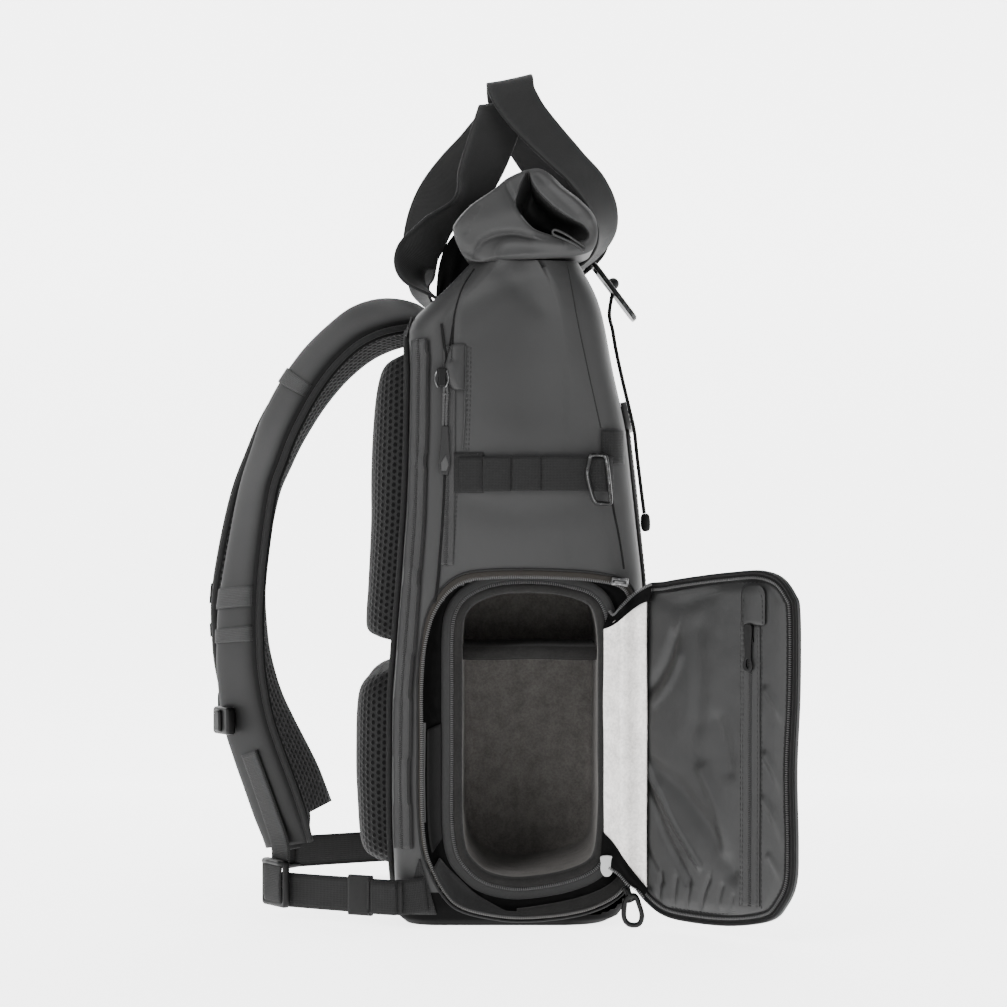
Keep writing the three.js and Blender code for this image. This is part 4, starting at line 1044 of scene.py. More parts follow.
hem_rows = [
    (53, 483), (47, 487), (40, 491.5), (33, 494.8), (30.4, 494.2), (31.4, 491.6), (38, 488.6),
    (46, 484.8), (53, 480),
]
hem_line = smooth_rows([(x, -roll_end / mm + 8, z) for x, z in hem_rows], 5) * mm
hem = band(
    "roll_hem", hem_line, same([0, 1.0, 0], hem_line), band_profile(19 * mm, 1.6 * mm), "coated"
)
roll = join("roll", [roll, hem])
settle(roll, "coated_fabric", "roll_top")
print("roll faces:", len(roll.data.polygons))

# %% [markdown]
# ## The two carrying handles
#
# Each handle is one strip of webbing from a near leg over the top to a far leg. A row of the
# table is one bend: shares of the bag's depth, of half the distance between the legs and of the
# rise over the bag, and the turn of the webbing's width about the vertical, in degrees.

# %% Handles
back_handle_rows = [
    (-0.22, -1.00, -0.21, 90), (-0.33, -1.02, -0.13, 82), (-0.39, -1.04, -0.04, 55),
    (-0.38, -1.04, 0.05, 30), (-0.31, -1.02, 0.16, 45), (-0.22, -0.92, 0.28, 70),
    (-0.16, -0.78, 0.40, 50), (-0.11, -0.62, 0.54, 36), (-0.07, -0.46, 0.68, 26),
    (-0.04, -0.33, 0.80, 14), (-0.03, -0.16, 0.88, 6), (-0.03, 0.16, 0.88, -2), (-0.06, 0.36, 0.80, -8),
    (-0.12, 0.52, 0.71, -10), (-0.21, 0.70, 0.60, -12), (-0.30, 0.84, 0.47, -16),
    (-0.36, 0.95, 0.33, -24), (-0.39, 1.02, 0.17, -34), (-0.39, 1.04, 0.04, -50),
    (-0.38, 1.03, -0.05, -68), (-0.32, 1.01, -0.14, -84), (-0.21, 1.00, -0.22, -90),
]
front_handle_rows = [
    (0.20, -0.95, -0.06, 90), (0.34, -0.96, 0.06, 84), (0.395, -0.97, 0.19, 66),
    (0.38, -0.96, 0.32, 48), (0.32, -0.90, 0.45, 34), (0.23, -0.82, 0.57, 28), (0.14, -0.74, 0.69, 22),
    (0.06, -0.64, 0.81, 16), (0.01, -0.50, 0.92, 8), (0.00, -0.26, 0.99, 4), (0.00, 0.26, 0.99, -2),
    (0.01, 0.50, 0.91, -6), (0.05, 0.68, 0.79, -10), (0.11, 0.80, 0.67, -14), (0.19, 0.88, 0.54, -20),
    (0.28, 0.94, 0.42, -30), (0.35, 0.98, 0.29, -46), (0.38, 1.00, 0.17, -66), (0.33, 1.00, 0.05, -84),
    (0.20, 0.99, -0.07, -90),
]


handle_rise = 148 * mm


def handle(name, rows, spread, node):
    """A handle of webbing; its top leans a little, most at the middle."""
    rows = smooth_rows(rows, 8)
    places = np.stack(
        [rows[:, 0] * bag_depth, rows[:, 1] * spread, bag_height + rows[:, 2] * handle_rise], axis=1
    )
    turn = np.radians(rows[:, 3])
    tilt = 0.27 * np.exp(-((rows[:, 1] / 0.45) ** 2))
    across = np.stack([np.cos(turn), np.sin(turn), tilt], axis=1)
    across /= np.linalg.norm(across, axis=1)[:, None]
    piece = band(name, places, across, band_profile(36 * mm, 2.4 * mm, 4, 9), "handle")
    settle(piece, "handle_webbing", node)


handle("handle_back", back_handle_rows, 82 * mm, "back_handle")
handle("handle_front", front_handle_rows, 56 * mm, "front_handle")
print("handles: 2")

# %% [markdown]
# ## The back: panel, pads and the long zip
#
# The panel and the pads are foam under honeycomb mesh. A pad could be a cube with a subdivision
# surface; here it is lofted from a table, because its rim and its groove then lie where the
# fixed pad has them. The panel is mesh laid on the bag's back, with binding round it.

# %% Back panel and pads
panel_half = 128 * mm
zs = np.linspace(0.055 * bag_height, 0.895 * bag_height, 90)
ys = np.linspace(-panel_half, panel_half, 60)
panel_grid = [[on_front(y, z, 3.9 * mm, -1)[0] for y in ys] for z in zs]
panel_uv = [[(y, z) for y in ys] for z in zs]
panel = grid_piece("back_mesh_panel", panel_grid, "mesh", panel_uv, flip=True)
rim = rounded_line(-panel_half, zs[0], panel_half, zs[-1], [30 * mm] * 4, 8)
keep_faces(panel, lambda p: inside_line(rim, p.y, p.z))
rim_places, rim_out = laid(rim, 2.2 * mm, on_front, -1, 4 * mm, closed=True)
binding = band(
    "back_binding", rim_places, np.cross(rim_out, directions(rim_places, True)),
    band_profile(7 * mm, 4.4 * mm), "binding", closed=True,
)
panel = join("back_mesh_panel", [panel, binding])
settle(panel, "back_mesh", "back_panel")

pad_line = smooth_rows(
    [
        (-1, 0), (-0.985, 0.5), (-0.90, 0.86), (-0.7, 0.99), (-0.42, 1.0), (-0.2, 0.97), (-0.09, 0.72),
        (0, 0.55), (0.09, 0.72), (0.2, 0.97), (0.42, 1.0), (0.7, 0.99), (0.90, 0.86), (0.985, 0.5),
        (1, 0),
    ],
    5,
)
upper_pad_rows = [
    (0.422, 0.70, 0.10), (0.428, 0.78, 0.50), (0.440, 0.86, 0.82), (0.470, 0.91, 0.88),
    (0.500, 0.94, 0.88), (0.590, 0.97, 0.92), (0.680, 0.98, 0.98), (0.760, 0.95, 0.96),
    (0.820, 0.88, 0.84), (0.850, 0.78, 0.62), (0.866, 0.68, 0.10),
]
lumbar_pad_rows = [
    (0.080, 0.74, 0.10), (0.088, 0.82, 0.55), (0.110, 0.92, 0.86), (0.180, 0.98, 0.94),
    (0.260, 1.00, 0.97), (0.320, 0.99, 0.96), (0.352, 0.95, 0.86), (0.370, 0.86, 0.55),
    (0.378, 0.78, 0.10),
]


pad_depth, pad_half = 25 * mm, 116 * mm


def back_pad(name, rows, node):
    """A pad of foam under mesh, with a groove down its middle."""
    grid, uv = [], []
    for z, wide, deep in smooth_rows(rows, 7):
        face = section(z * bag_height)[0] * bag_depth - 4 * mm
        row = [
            (face - out * deep * pad_depth, across * wide * pad_half, z * bag_height)
            for across, out in pad_line
        ]
        steps = np.linalg.norm(np.diff(np.array(row), axis=0), axis=1)
        row_uv = [(u, z * bag_height) for u in np.concatenate([[0], np.cumsum(steps)])]
        grid.append(row)
        uv.append(row_uv)
    piece = grid_piece(name, grid, "mesh", uv)
    settle(piece, "back_mesh", node)


back_pad("pad_upper", upper_pad_rows, "back_pad_upper")
back_pad("pad_lumbar", lumbar_pad_rows, "back_pad_lumbar")
print("panel faces:", len(panel.data.polygons), "and two pads")

# %% [markdown]
# The clamshell zip runs up the back edge of the side panel, over the top of the back panel and
# down the other side.

# %% The long back zip
# The way of the coil, as (x, z) pairs on a side, from the base upwards.
back_edge = [
    (np.interp(share, heights, values[:, 0]) * bag_depth + 8 * mm, share * bag_height)
    for share in np.linspace(0.118, 0.880, 60)
]


def zip_run(places, out):
    """The tape and the coil of the long zip along a line."""
    across = np.cross(out, directions(places))
    return [
        band("zip_tape", places, across, band_profile(15 * mm, 1.2 * mm), "tape"),
        coil("zip_coil", places + out * 0.9 * mm, out, look="coil_dark"),
    ]


edge_pieces = []
for side in (-1, 1):
    places, out = laid(back_edge, 1.0 * mm, on_bag, side, 3 * mm)
    across = np.cross(out, directions(places))
    edge_pieces += zip_run(places, out)
    crest = places + across * side * 8.2 * mm + out * 0.4 * mm
    edge_pieces.append(tube("zip_piping", crest, 1.3 * mm, "binding"))
top_z = 0.902 * bag_height
top_line = [(y, top_z) for y in np.linspace(-128 * mm, 128 * mm, 60)]
places, out = laid(top_line, 1.0 * mm, on_front, -1, 4 * mm)
edge_pieces += zip_run(places, out)
settle(join("long_zip", edge_pieces), "zip_tape", "back_zip")
print("back built")

# %% [markdown]
# ## The shoulder straps
#
# A strap is foam between a smooth outer cloth and an inner mesh, with binding along both edges.
# A row of the table is one place along it: shares of the reach behind the bag, of the spread of
# the straps and of the height of the harness, then the lean and rise of the far edge, and the
# shares of the full width and thickness.

# %% Shoulder straps
strap_rows = [
    (0.270, 0.36, 0.948, -0.25, 0.22, 0.94, 0.7), (0.335, 0.37, 0.972, -0.28, 0.28, 1, 0.9),
    (0.460, 0.43, 0.972, -0.22, 0.38, 1, 1), (0.582, 0.50, 0.950, -0.21, 0.38, 1, 1),
    (0.694, 0.53, 0.908, -0.30, 0.32, 1, 1), (0.783, 0.56, 0.856, -0.34, 0.30, 1, 1),
    (0.852, 0.60, 0.798, -0.38, 0.25, 1, 1), (0.900, 0.63, 0.740, -0.40, 0.14, 1, 1),
    (0.941, 0.66, 0.681, -0.43, 0.03, 1, 1), (0.980, 0.70, 0.574, -0.48, 0.00, 1, 1),
    (0.998, 0.73, 0.502, -0.54, 0.00, 1, 1), (1.000, 0.75, 0.445, -0.57, 0.00, 1, 1),
    (0.995, 0.76, 0.389, -0.60, -0.08, 1, 1), (0.970, 0.77, 0.319, -0.63, -0.14, 1, 1),
    (0.931, 0.78, 0.265, -0.66, -0.10, 1, 1), (0.888, 0.79, 0.214, -0.67, -0.13, 0.99, 1),
    (0.849, 0.80, 0.166, -0.68, -0.18, 0.96, 0.95), (0.815, 0.80, 0.118, -0.70, -0.24, 0.88, 0.6),
]
strap_width, strap_thickness = 66 * mm, 13 * mm
strap_reach, strap_spread, harness_top = 196 * mm, 128 * mm, 452 * mm


def strap_line(swing, spacing=3 * mm):
    """The left strap's middle line: place, direction across, shares of the width and thickness."""
    rows = smooth_rows(strap_rows, 8)
    sway = 1 + swing * np.sin(np.pi * np.clip((1 - rows[:, 2]) * 1.1, 0, 1))
    places = np.stack(
        [-rows[:, 0] * strap_reach * sway, -rows[:, 1] * strap_spread, rows[:, 2] * harness_top], axis=1
    )
    across = np.stack([rows[:, 3], np.ones(len(rows)), rows[:, 4]], axis=1)
    return even_rows(np.hstack([places, across, rows[:, 5:7]]), spacing)


def strap_edge(line, u, v):
    """A line along the strap: u is -1 to 1 across it, v is metres out of it."""
    _, across, proud = frames(line[:, :3], line[:, 3:6])
    wide = (strap_width / 2) * line[:, 6:7]
    return line[:, :3] + across * (u * wide) + proud * (v * line[:, 7:8])


def strap_face(u):
    """How far the outer face stands from the strap's middle."""
    return -strap_thickness / 2 * (0.60 + 0.42 * (1 - abs(u) ** 4) ** 0.5)


# The section goes over the outer face and back along the inner one, as many points on each.
face_points, edge_share = 27, 0.985
strap_section = [(u, strap_face(u)) for u in np.linspace(-edge_share, edge_share, face_points)]
for u in np.linspace(edge_share, -edge_share, face_points):
    strap_section.append((u, strap_thickness / 2 * (0.45 + 0.60 * (1 - abs(u) ** 6) ** 0.5)))


def both(piece, side):
    """Mirrors a piece that was made for the left to the right."""
    if side == "right":
        for v in piece.data.vertices:
            v.co.y = -v.co.y
        piece.data.flip_normals()
    return piece


def strap_place(strap, k, u, v):
    """The place at one row of the strap: u is -1 to 1 across it, v is metres out of it."""
    line, across, proud = strap
    return line[k, :3] + across[k] * u * strap_width / 2 * line[k, 6] + proud[k] * v * line[k, 7]


def strap_belt(strap, low, high, slant):
    """Webbing sewn across the outer face, between two places along the strap (shares of it)."""
    count = len(strap[0])
    columns = np.linspace(-0.97, 0.97, 25)
    shares = np.linspace(low, high, max(3, int((high - low) * count * 2)))
    rows = []
    for share in shares:
        row = []
        for u in columns:
            at = min(max((share + slant * u) * (count - 1), 0), count - 1)
            k = int(at)
            part = at - k
            k2 = min(k + 1, count - 1)
            stand = strap_face(u) - 0.7 * mm
            row.append(
                strap_place(strap, k, u, stand) * (1 - part) + strap_place(strap, k2, u, stand) * part
            )
        rows.append(row)
    uv = [[(u * strap_width / 2, share * count * 3 * mm) for u in columns] for share in shares]
    return thicken(grid_piece("belt", rows, "webbing", uv), 1.2 * mm)


def thicken(piece, thickness):
    """Gives a sheet its thickness with a solidify modifier, and applies it."""
    piece.modifiers.new("thick", "SOLIDIFY").thickness = thickness
    piece.modifiers["thick"].offset = 0
    return apply_modifiers(piece)


def apply_modifiers(piece):
    """Turns a piece's modifiers into its mesh."""
    bpy.context.view_layer.update()
    graph = bpy.context.evaluated_depsgraph_get()
    made = bpy.data.meshes.new_from_object(piece.evaluated_get(graph))
    piece.modifiers.clear()
    piece.data = made
    return piece


for side, swing in [("left", 0.0), ("right", 0.10)]:
    line = strap_line(swing)
    _, across, proud = frames(line[:, :3], line[:, 3:6])
    strap = line, across, proud
    grid, uv = [], []
    for k in range(len(line)):
        grid.append([strap_place(strap, k, u, v) for u, v in strap_section])
        uv.append([(u * strap_width / 2, k * 3 * mm) for u, v in strap_section])
    body = grid_piece("strap_body", grid, "strap_cloth", uv, closed=True, caps=True)
    body.data.materials.append(looks["mesh"])
    columns = len(strap_section)
    for number, face in enumerate(body.data.polygons):
        on_inner_face = face_points - 1 <= number % columns < 2 * face_points - 1
        if number < (len(line) - 1) * columns and on_inner_face:
            face.material_index = 1
    parts = [body]
    for u in (-1, 1):
        edge = strap_edge(line, u * edge_share, -0.4 * mm)
        profile = band_profile(6.5 * mm, 4.6 * mm, 5, 5)
        parts.append(band("strap_binding", edge, across, profile, "binding"))
    for low, high, slant in [(0.600, 0.630, 0.0), (0.660, 0.682, 0.0), (0.262, 0.285, -0.01)]:
        parts.append(strap_belt(strap, low, high, slant))
    piece = both(join(f"shoulder_strap_{side}", parts), side)
    settle(piece, "coated_fabric", f"shoulder_strap_{side}")
print("straps built")

# %% [markdown]
# ## The lower harness
#
# From each strap a webbing tail goes down into a ladder lock. The lower webbing comes out of
# the lock, runs to the bag and is sewn in under a corner tab.

# %% Lower harness
webbing_width, webbing_thickness = 25 * mm, 1.8 * mm
lock_high, lock_deep, lock_rim, lock_clear = 34 * mm, 5 * mm, 3.5 * mm, 9.5 * mm
lower_middle = 22 * mm
seat = 0.3 * mm


def webbing_band(name, places, across):
    """A length of webbing along the places."""
    profile = band_profile(webbing_width, webbing_thickness, 3, 9)
    return band(name, places, across, profile, "webbing")


def strap_row_place(row, swing):
    """The place of a row of the strap's table, and the directions across and out of the strap."""
    sway = 1 + swing * math.sin(math.pi * min(1, max(0, (1 - row[2]) * 1.1)))
    at = np.array([-row[0] * strap_reach * sway, -row[1] * strap_spread, row[2] * harness_top])
    across = unit(np.array([row[3], 1.0, row[4]]))
    out = unit(np.array([-1.0, row[3], 0]))
    return at, across, out


for side, swing in [("left", 0.0), ("right", 0.10)]:
    end, end_across, out = strap_row_place(strap_rows[-1], swing)
    tail_stand = strap_thickness * 0.525 + seat + webbing_thickness / 2
    lock_middle = end + out * (tail_stand + (webbing_thickness + lock_deep) / 2 + seat)
    lock_middle[2] = lock_high / 2 + lock_clear
    right = np.cross([0, 0, 1.0], out)
    wide, high = webbing_width / 2 + lock_rim, lock_high / 2
    rim = rounded_line(-wide, -high, wide, high, [3 * mm] * 4, 5)
    inner = webbing_width / 2 + 0.4 * mm
    windows = [
        rounded_line(-inner, 2.2 * mm, inner, high - lock_rim, [1.2 * mm] * 4, 3)[::-1],
        rounded_line(-inner, -high + lock_rim, inner, -2.2 * mm, [1.2 * mm] * 4, 3)[::-1],
    ]
    lock = plate(
        "ladder_lock", [rim, *windows], lock_deep, 1.2 * mm, "plastic", lock_middle, right, (0, 0, 1)
    )
    bar_middle = lock_middle + np.array([0, 0, high - 2.4 * mm]) + out * 1.6 * mm
    bar_line = [bar_middle + right * s for s in np.linspace(-wide + 2 * mm, wide - 2 * mm, 5)]
    bar = tube("lock_bar", bar_line, 2.1 * mm, "plastic", 10)
    lock = both(join(f"ladder_lock_{side}", [lock, bar]), side)
    settle(lock, "hard_plastic", f"ladder_lock_{side}")

    rows = []
    for step in (4, 3, 2, 1):
        at, across, turned = strap_row_place(strap_rows[-step], swing)
        rows.append([*(at + turned * tail_stand), *across])
    foot = end + out * tail_stand
    foot[2] = lower_middle + webbing_width / 2 + 3 * mm
    rows.append([*foot, *end_across])
    rows = even_rows(smooth_rows(rows, 8), 2.5 * mm)
    tail = webbing_band("strap_tail", rows[:, :3], rows[:, 3:6])
    # The webbing doubles over the lock's bars, so the windows are filled.
    fold_rows = [
        (high - 2.6 * mm, -0.2), (high - 5 * mm, 2.2), (0, 3.0), (-high + 5 * mm, 2.2),
        (-high + 2.6 * mm, -0.2),
    ]
    fold = smooth_rows(
        [(*(lock_middle + out * rise * mm)[:2], lock_middle[2] + level) for level, rise in fold_rows], 5
    )
    wrap = webbing_band("lock_wrap", fold, same(right, fold))
    tail = both(join(f"strap_tail_{side}", [tail, wrap]), side)
    settle(tail, "webbing", f"strap_tail_{side}")

    base_half = section(0.065 * bag_height)[2] * bag_width
    face = -(base_half + webbing_thickness * 1.5 + 3 * seat)
    corner = np.array([-0.44 * bag_depth, face, lower_middle])
    start = np.array([lock_middle[0], lock_middle[1], lower_middle])
    bow = np.array([0, -1.5 * mm, 0])
    sewn_end = np.array([-0.33 * bag_depth, face, lower_middle + 2 * mm])
    bends = [start * 0.6 + corner * 0.4 + bow, start * 0.3 + corner * 0.7 + bow]
    web_path = [start, *bends, corner, sewn_end]
    path = even_rows(smooth_rows(web_path, 10), 2.5 * mm)
    web = both(webbing_band(f"lower_webbing_{side}", path, same([0, 0, 1.0], path)), side)
    settle(web, "webbing", f"lower_webbing_{side}")
    if side == "left":
        left_web = web_path

    at, across, out = strap_row_place(strap_rows[13], swing)
    middle = at + across * 0.26 * strap_width + out * (strap_thickness / 2 + 4.4 * mm)
    right = np.cross([0, 0, 1.0], out)
    rim = rounded_line(-12 * mm, -10 * mm, 12 * mm, 10 * mm, [3 * mm] * 4, 4)
    clip = plate("sternum_clip", [rim], 7.4 * mm, 1.8 * mm, "plastic", middle, right, (0, 0, 1), 3)
    saddle = rounded_line(-7 * mm, -8 * mm, 3 * mm, 8 * mm, [2.5 * mm] * 4, 4)
    loop = plate(
        "clip_saddle", [saddle], 3.4 * mm, 1.5 * mm, "plastic", middle + out * 4.2 * mm, right,
        (0, 0, 1), 3,
    )
    clip = both(join(f"sternum_clip_{side}", [clip, loop]), side)
    settle(clip, "hard_plastic", f"sternum_clip_{side}")

tab_edge = opening_back - 11 * mm
for side in (-1, 1):
    name = "left" if side < 0 else "right"
    top, wide = 49 * mm, 11 * mm
    rows, uv = [], []
    for z in np.linspace(10 * mm, top, 22):
        share = (z - 10 * mm) / (top - 10 * mm)
        low = tab_edge - wide + share * (wide - 1.2 * mm) * (0.35 if share < 0.4 else 1.0)
        high = tab_edge + wide - share * (wide + 0.4 * mm)
        row = [on_bag(x, z, 1.5 * mm, side)[0] for x in np.linspace(min(low, high - 0.4 * mm), high, 9)]
        rows.append(row)
        uv.append([(p[0], z) for p in row])
    tab = grid_piece(f"anchor_tab_{name}", rows, "webbing", uv, flip=side > 0)
    thicken(tab, 1.6 * mm)
    settle(tab, "webbing", f"anchor_tab_{name}")

# The keeper goes round the left webbing, and the folded end of the webbing lies behind it.
run = unit(left_web[3] - left_web[1])
out = np.cross(run, [0, 0, 1.0])
keeper_middle = left_web[2]
keeper_section = rounded_line(-2.6 * mm, -14.3 * mm, 2.6 * mm, 14.3 * mm, [1.6 * mm] * 4, 4)
rings = []
for share in np.linspace(-0.5, 0.5, 10):
    centre = keeper_middle + run * 18 * mm * share
    rings.append([centre + out * a + np.array([0, 0, b]) for a, b in keeper_section])
uv = [[(q * 1.2 * mm, r * 2 * mm) for q in range(len(rings[0]))] for r in range(len(rings))]
keeper = grid_piece("webbing_keeper", rings, "binding", uv, closed=True, caps=True)
settle(keeper, "webbing", "webbing_keeper_left")
run = unit(left_web[3] - left_web[2])
out = np.array([run[1], -run[0], 0])
if out[1] > 0:
    out = -out
middle = keeper_middle + run * 21 * mm + out * ((webbing_thickness + 5 * mm) / 2 + 1.4 * seat)
leaf_pitch = 1.9 * mm
folds = []
for number in range(3):
    depth = number * leaf_pitch - leaf_pitch
    length = 11.5 * mm - number * 0.8 * mm
    line = [
        middle + run * a + out * (depth + 0.25 * mm * math.cos(a * 260))
        for a in np.linspace(-length, length, 12)
    ]
    profile = band_profile(webbing_width - 1 * mm, 1.7 * mm, 3, 7)
    folds.append(band("fold", line, same([0, 0, 1.0], line), profile, "webbing"))
for number, end in enumerate((1, -1)):
    centre = middle + run * end * 11 * mm + out * (number - 0.5) * leaf_pitch
    arc = [
        centre + run * end * math.sin(a) * 1.6 * mm + out * math.cos(a) * leaf_pitch / 2
        for a in np.linspace(0, math.pi, 7)
    ]
    profile = band_profile(webbing_width - 1 * mm, 1.6 * mm, 3, 7)
    folds.append(band("turn", arc, same([0, 0, 1.0], arc), profile, "webbing"))
settle(join("strap_bundle", folds), "webbing", "strap_bundle_left")
print("lower harness built")

# %% [markdown]
# ## The side opening
#
# The coil of the opening's zip runs round the hole. Outside it lies brown tape, inside it the
# black gusset falls back to the insert. The insert has its own coil round its mouth. Both
# lines are tables of (x, z) in millimetres, smoothed to closed curves.

# %% Opening lines and tape
mouth_rows = [
    (7, 248.6), (-14, 248), (-30, 246), (-41, 240), (-49, 231), (-55, 220), (-59, 206), (-61.6, 189),
    (-62.6, 165), (-62.4, 130), (-62.6, 100), (-61.6, 72), (-59, 53), (-53, 38), (-46, 25.5), (-38, 17),
    (-24, 11.5), (0, 7.6), (25, 8.2), (50, 12), (72, 20.5), (82, 30), (86.5, 45), (88, 70), (88, 120),
    (88, 180), (87.4, 215), (85, 231), (78, 241.5), (60, 246), (34, 248),
]
insert_rows = [
    (10, 244.4), (-8, 243), (-22, 238.8), (-32.8, 231.7), (-39, 221.5), (-41.2, 206), (-41.4, 170),
    (-41.4, 120), (-41.4, 75), (-38.8, 54), (-33.4, 43), (-20, 31.2), (0, 26), (20, 27), (42.8, 31.6),
    (60, 39.5), (67.5, 52), (70, 80), (70.4, 120), (70.4, 180), (70, 208), (66.5, 226), (58, 236),
    (43, 241), (28, 243.6),
]
mouth_line = closed_curve(mouth_rows, 8)
insert_line = closed_curve(insert_rows, 8)


def offset_line(line, amount):
    """A closed line moved outwards, or inwards if amount is negative."""
    along = unit(np.roll(line, -1, 0) - np.roll(line, 1, 0))
    area = np.sum(line[:, 0] * np.roll(line[:, 1], -1) - np.roll(line[:, 0], -1) * line[:, 1])
    sign = 1 if area > 0 else -1
    amount = np.asarray(amount)
    if amount.ndim == 1:
        amount = amount[:, None]
    return line + sign * np.stack([along[:, 1], -along[:, 0]], axis=1) * amount


def even_flat(line, spacing, closed=True):
    """A flat line with its points an even distance apart."""
    return even_rows(np.hstack([line, np.zeros((len(line), 1))]), spacing, closed)[:, :2]


mouth = even_flat(mouth_line, 2 * mm)
mouth_places = np.array([on_bag(x, z, 1.2 * mm)[0] for x, z in mouth])
mouth_out = np.array([on_bag(x, z)[1] for x, z in mouth])
top_share = np.clip((mouth[:, 1] - 200 * mm) / (40 * mm), 0, 1)
low_share = np.clip((60 * mm - mouth[:, 1]) / (40 * mm), 0, 1)
tape_width = 2.4 * mm + 2.6 * mm * top_share ** 0.7 - 0.8 * mm * low_share
rings, ring_uv = [], []
for share, lift in [(0.0, -1.2), (0.0, 0.4), (0.12, 1.3), (0.9, 1.2), (1.0, 0.6), (1.06, -0.6)]:
    line = offset_line(mouth, tape_width * share - 0.4 * mm)
    rings.append([on_bag(x, z, lift * mm)[0] for x, z in line])
    ring_uv.append([(share * 5 * mm, k * 2 * mm) for k in range(len(line))])
opening_parts = [grid_piece("mouth_tape", rings, "brown_tape", ring_uv, closed=True, flip=True)]
opening_parts.append(coil("mouth_coil", mouth_places, mouth_out, closed=True, width=2.4 * mm))
line = offset_line(mouth, 5.6 * mm * top_share + 3.0 * mm * (1 - top_share))
piping = np.array([on_bag(x, z, 0.5 * mm)[0] for x, z in line])
opening_parts.append(tube("mouth_piping", piping, 0.9 * mm, "binding", 6, closed=True))
settle(join("opening_tape", opening_parts), "zip_tape", "opening_zip")
print("opening's tape:", len(mouth), "places round the mouth")

# %% [markdown]
# The gusset is a ring of black cloth from the coil to the insert. It has soft folds, widest at
# the lower front, and strips of twill tape lie in it at the left and at the bottom.

# %% Gusset
insert_y = -140.2 * mm
gusset_y = insert_y + 1.5 * mm
gusset_bow = 4.5 * mm


def fan(name, line_out, line_in, depth_out, folds, seed):
    """The ring of cloth between two closed lines of the same count; depth_out is y at the outer one."""
    steps = 14
    rings, uv = [], []
    for step in range(steps + 1):
        share = step / steps
        flat = line_out * (1 - share) + line_in * share
        dip = math.sin(math.pi * share)
        row = []
        for k, (x, z) in enumerate(flat):
            y = depth_out[k] * (1 - share) + gusset_y * share
            broad = noise.noise(Vector((x * 55, z * 55, seed)))
            wave = broad + 0.5 * noise.noise(Vector((x * 140, z * 140, seed + 5)))
            row.append((x, y + gusset_bow * dip + folds * dip * wave, z))
        rings.append(row)
        uv.append([(share * 0.02, k * 0.002) for k in range(len(flat))])
    return grid_piece(name, rings, "boot", uv, closed=True, flip=True)


def matched(line, count):
    """A closed line with a set number of points, starting where it passes over x = 0 at the top."""
    start = int(np.argmin(np.abs(line[:, 0]) + (line[:, 1] < 120 * mm)))
    line = np.roll(line, -start, 0)
    closed_line = np.vstack([line, line[:1]])
    run = np.concatenate([[0], np.cumsum(np.linalg.norm(np.diff(closed_line, axis=0), axis=1))])
    marks = np.linspace(0, run[-1], count + 1)[:-1]
    return np.stack([np.interp(marks, run, closed_line[:, k]) for k in (0, 1)], axis=1)


ring_count = 320
mouth_ring = matched(offset_line(mouth_line, -0.6 * mm), ring_count)
frame_ring = matched(offset_line(insert_line, 7.5 * mm), ring_count)
mouth_depth = np.array([on_bag(x, z, 0.4 * mm)[0][1] for x, z in mouth_ring])
gusset = fan("gusset_cloth", mouth_ring, frame_ring, mouth_depth, 2.6 * mm, 3)


def ring_strip(name, low, high, look, rise, depth, inner=0.0, outer=1.0):
    """A strip of tape on part of the gusset; rise gives its width as a share from the coil inwards."""
    rows, uv = [], []
    for k in range(math.ceil(low * ring_count), math.floor(high * ring_count) + 1):
        share = (k / ring_count - low) / (high - low)
        width = rise(share)
        row = []
        for step in range(7):
            t = inner + (outer - inner) * step / 6 * width
            flat = mouth_ring[k] * (1 - t) + frame_ring[k] * t
            y = mouth_depth[k] * (1 - t) + gusset_y * t
            row.append((flat[0], y + gusset_bow * math.sin(math.pi * t) - depth, flat[1]))
        rows.append(row)
        uv.append([(step * 1.6 * mm, k * 2 * mm) for step in range(7)])
    return thicken(grid_piece(name, rows, look, uv), 0.9 * mm)


strips = [
    ring_strip(
        "corner_twill", 0.355, 0.480, "handle",
        lambda s: 0.25 + 0.7 * math.sin(math.pi * min(1, s * 1.15 + 0.12)), 2.4 * mm,
    ),
    ring_strip(
        "bottom_twill", 0.462, 0.600, "felt_band",
        lambda s: 0.58 * math.sin(math.pi * min(1, 0.12 + s * 0.86)) ** 0.35, 2.4 * mm,
    ),
    ring_strip("left_pocket", 0.215, 0.345, "pocket_cloth", lambda s: 1.0, 1.6 * mm, 0.22, 1.0),
]
settle(join("opening_gusset", [gusset, *strips]), "base_fabric", "opening_gusset")


def span(line, z):
    """The lowest and highest x at which a closed line crosses a height."""
    ax, az = line[:, 0], line[:, 1]
    bx, bz = np.roll(ax, -1), np.roll(az, -1)
    cross = (az > z) != (bz > z)
    x = ax[cross] + (bx[cross] - ax[cross]) * (z - az[cross]) / (bz[cross] - az[cross])
    return (x.min(), x.max()) if len(x) else None


def filled(name, line, spacing, look, place):
    """A patch of cloth within a closed line; place gives the point for each (x, z)."""
    low, high = line[:, 1].min(), line[:, 1].max()
    widest = line[:, 0].max() - line[:, 0].min()
    columns = int(widest / spacing) + 2
    level = np.linspace(-1, 1, int((high - low) / spacing) + 3)
    # The rows lie closer together near the rounded ends.
    near_end = np.sign(level) * (0.9 + 0.1 * np.sin((np.abs(level) - 0.9) * 5 * math.pi))
    level = np.where(np.abs(level) > 0.9, near_end, level)
    rows, uv = [], []
    for z in (low + high) / 2 + (high - low) / 2 * 0.9995 * level:
        left, right = span(line, z)
        xs = np.linspace(left, right, columns)
        rows.append([place(x, z) for x in xs])
        uv.append([(x, z) for x in xs])
    return grid_piece(name, rows, look, uv)

print("gusset: one ring of cloth and", len(strips), "strips")

# %% [markdown]
# The padded insert is a box of foam under felt: a rim with tape, coil and a soft binding, then
# the walls back to the closed end.

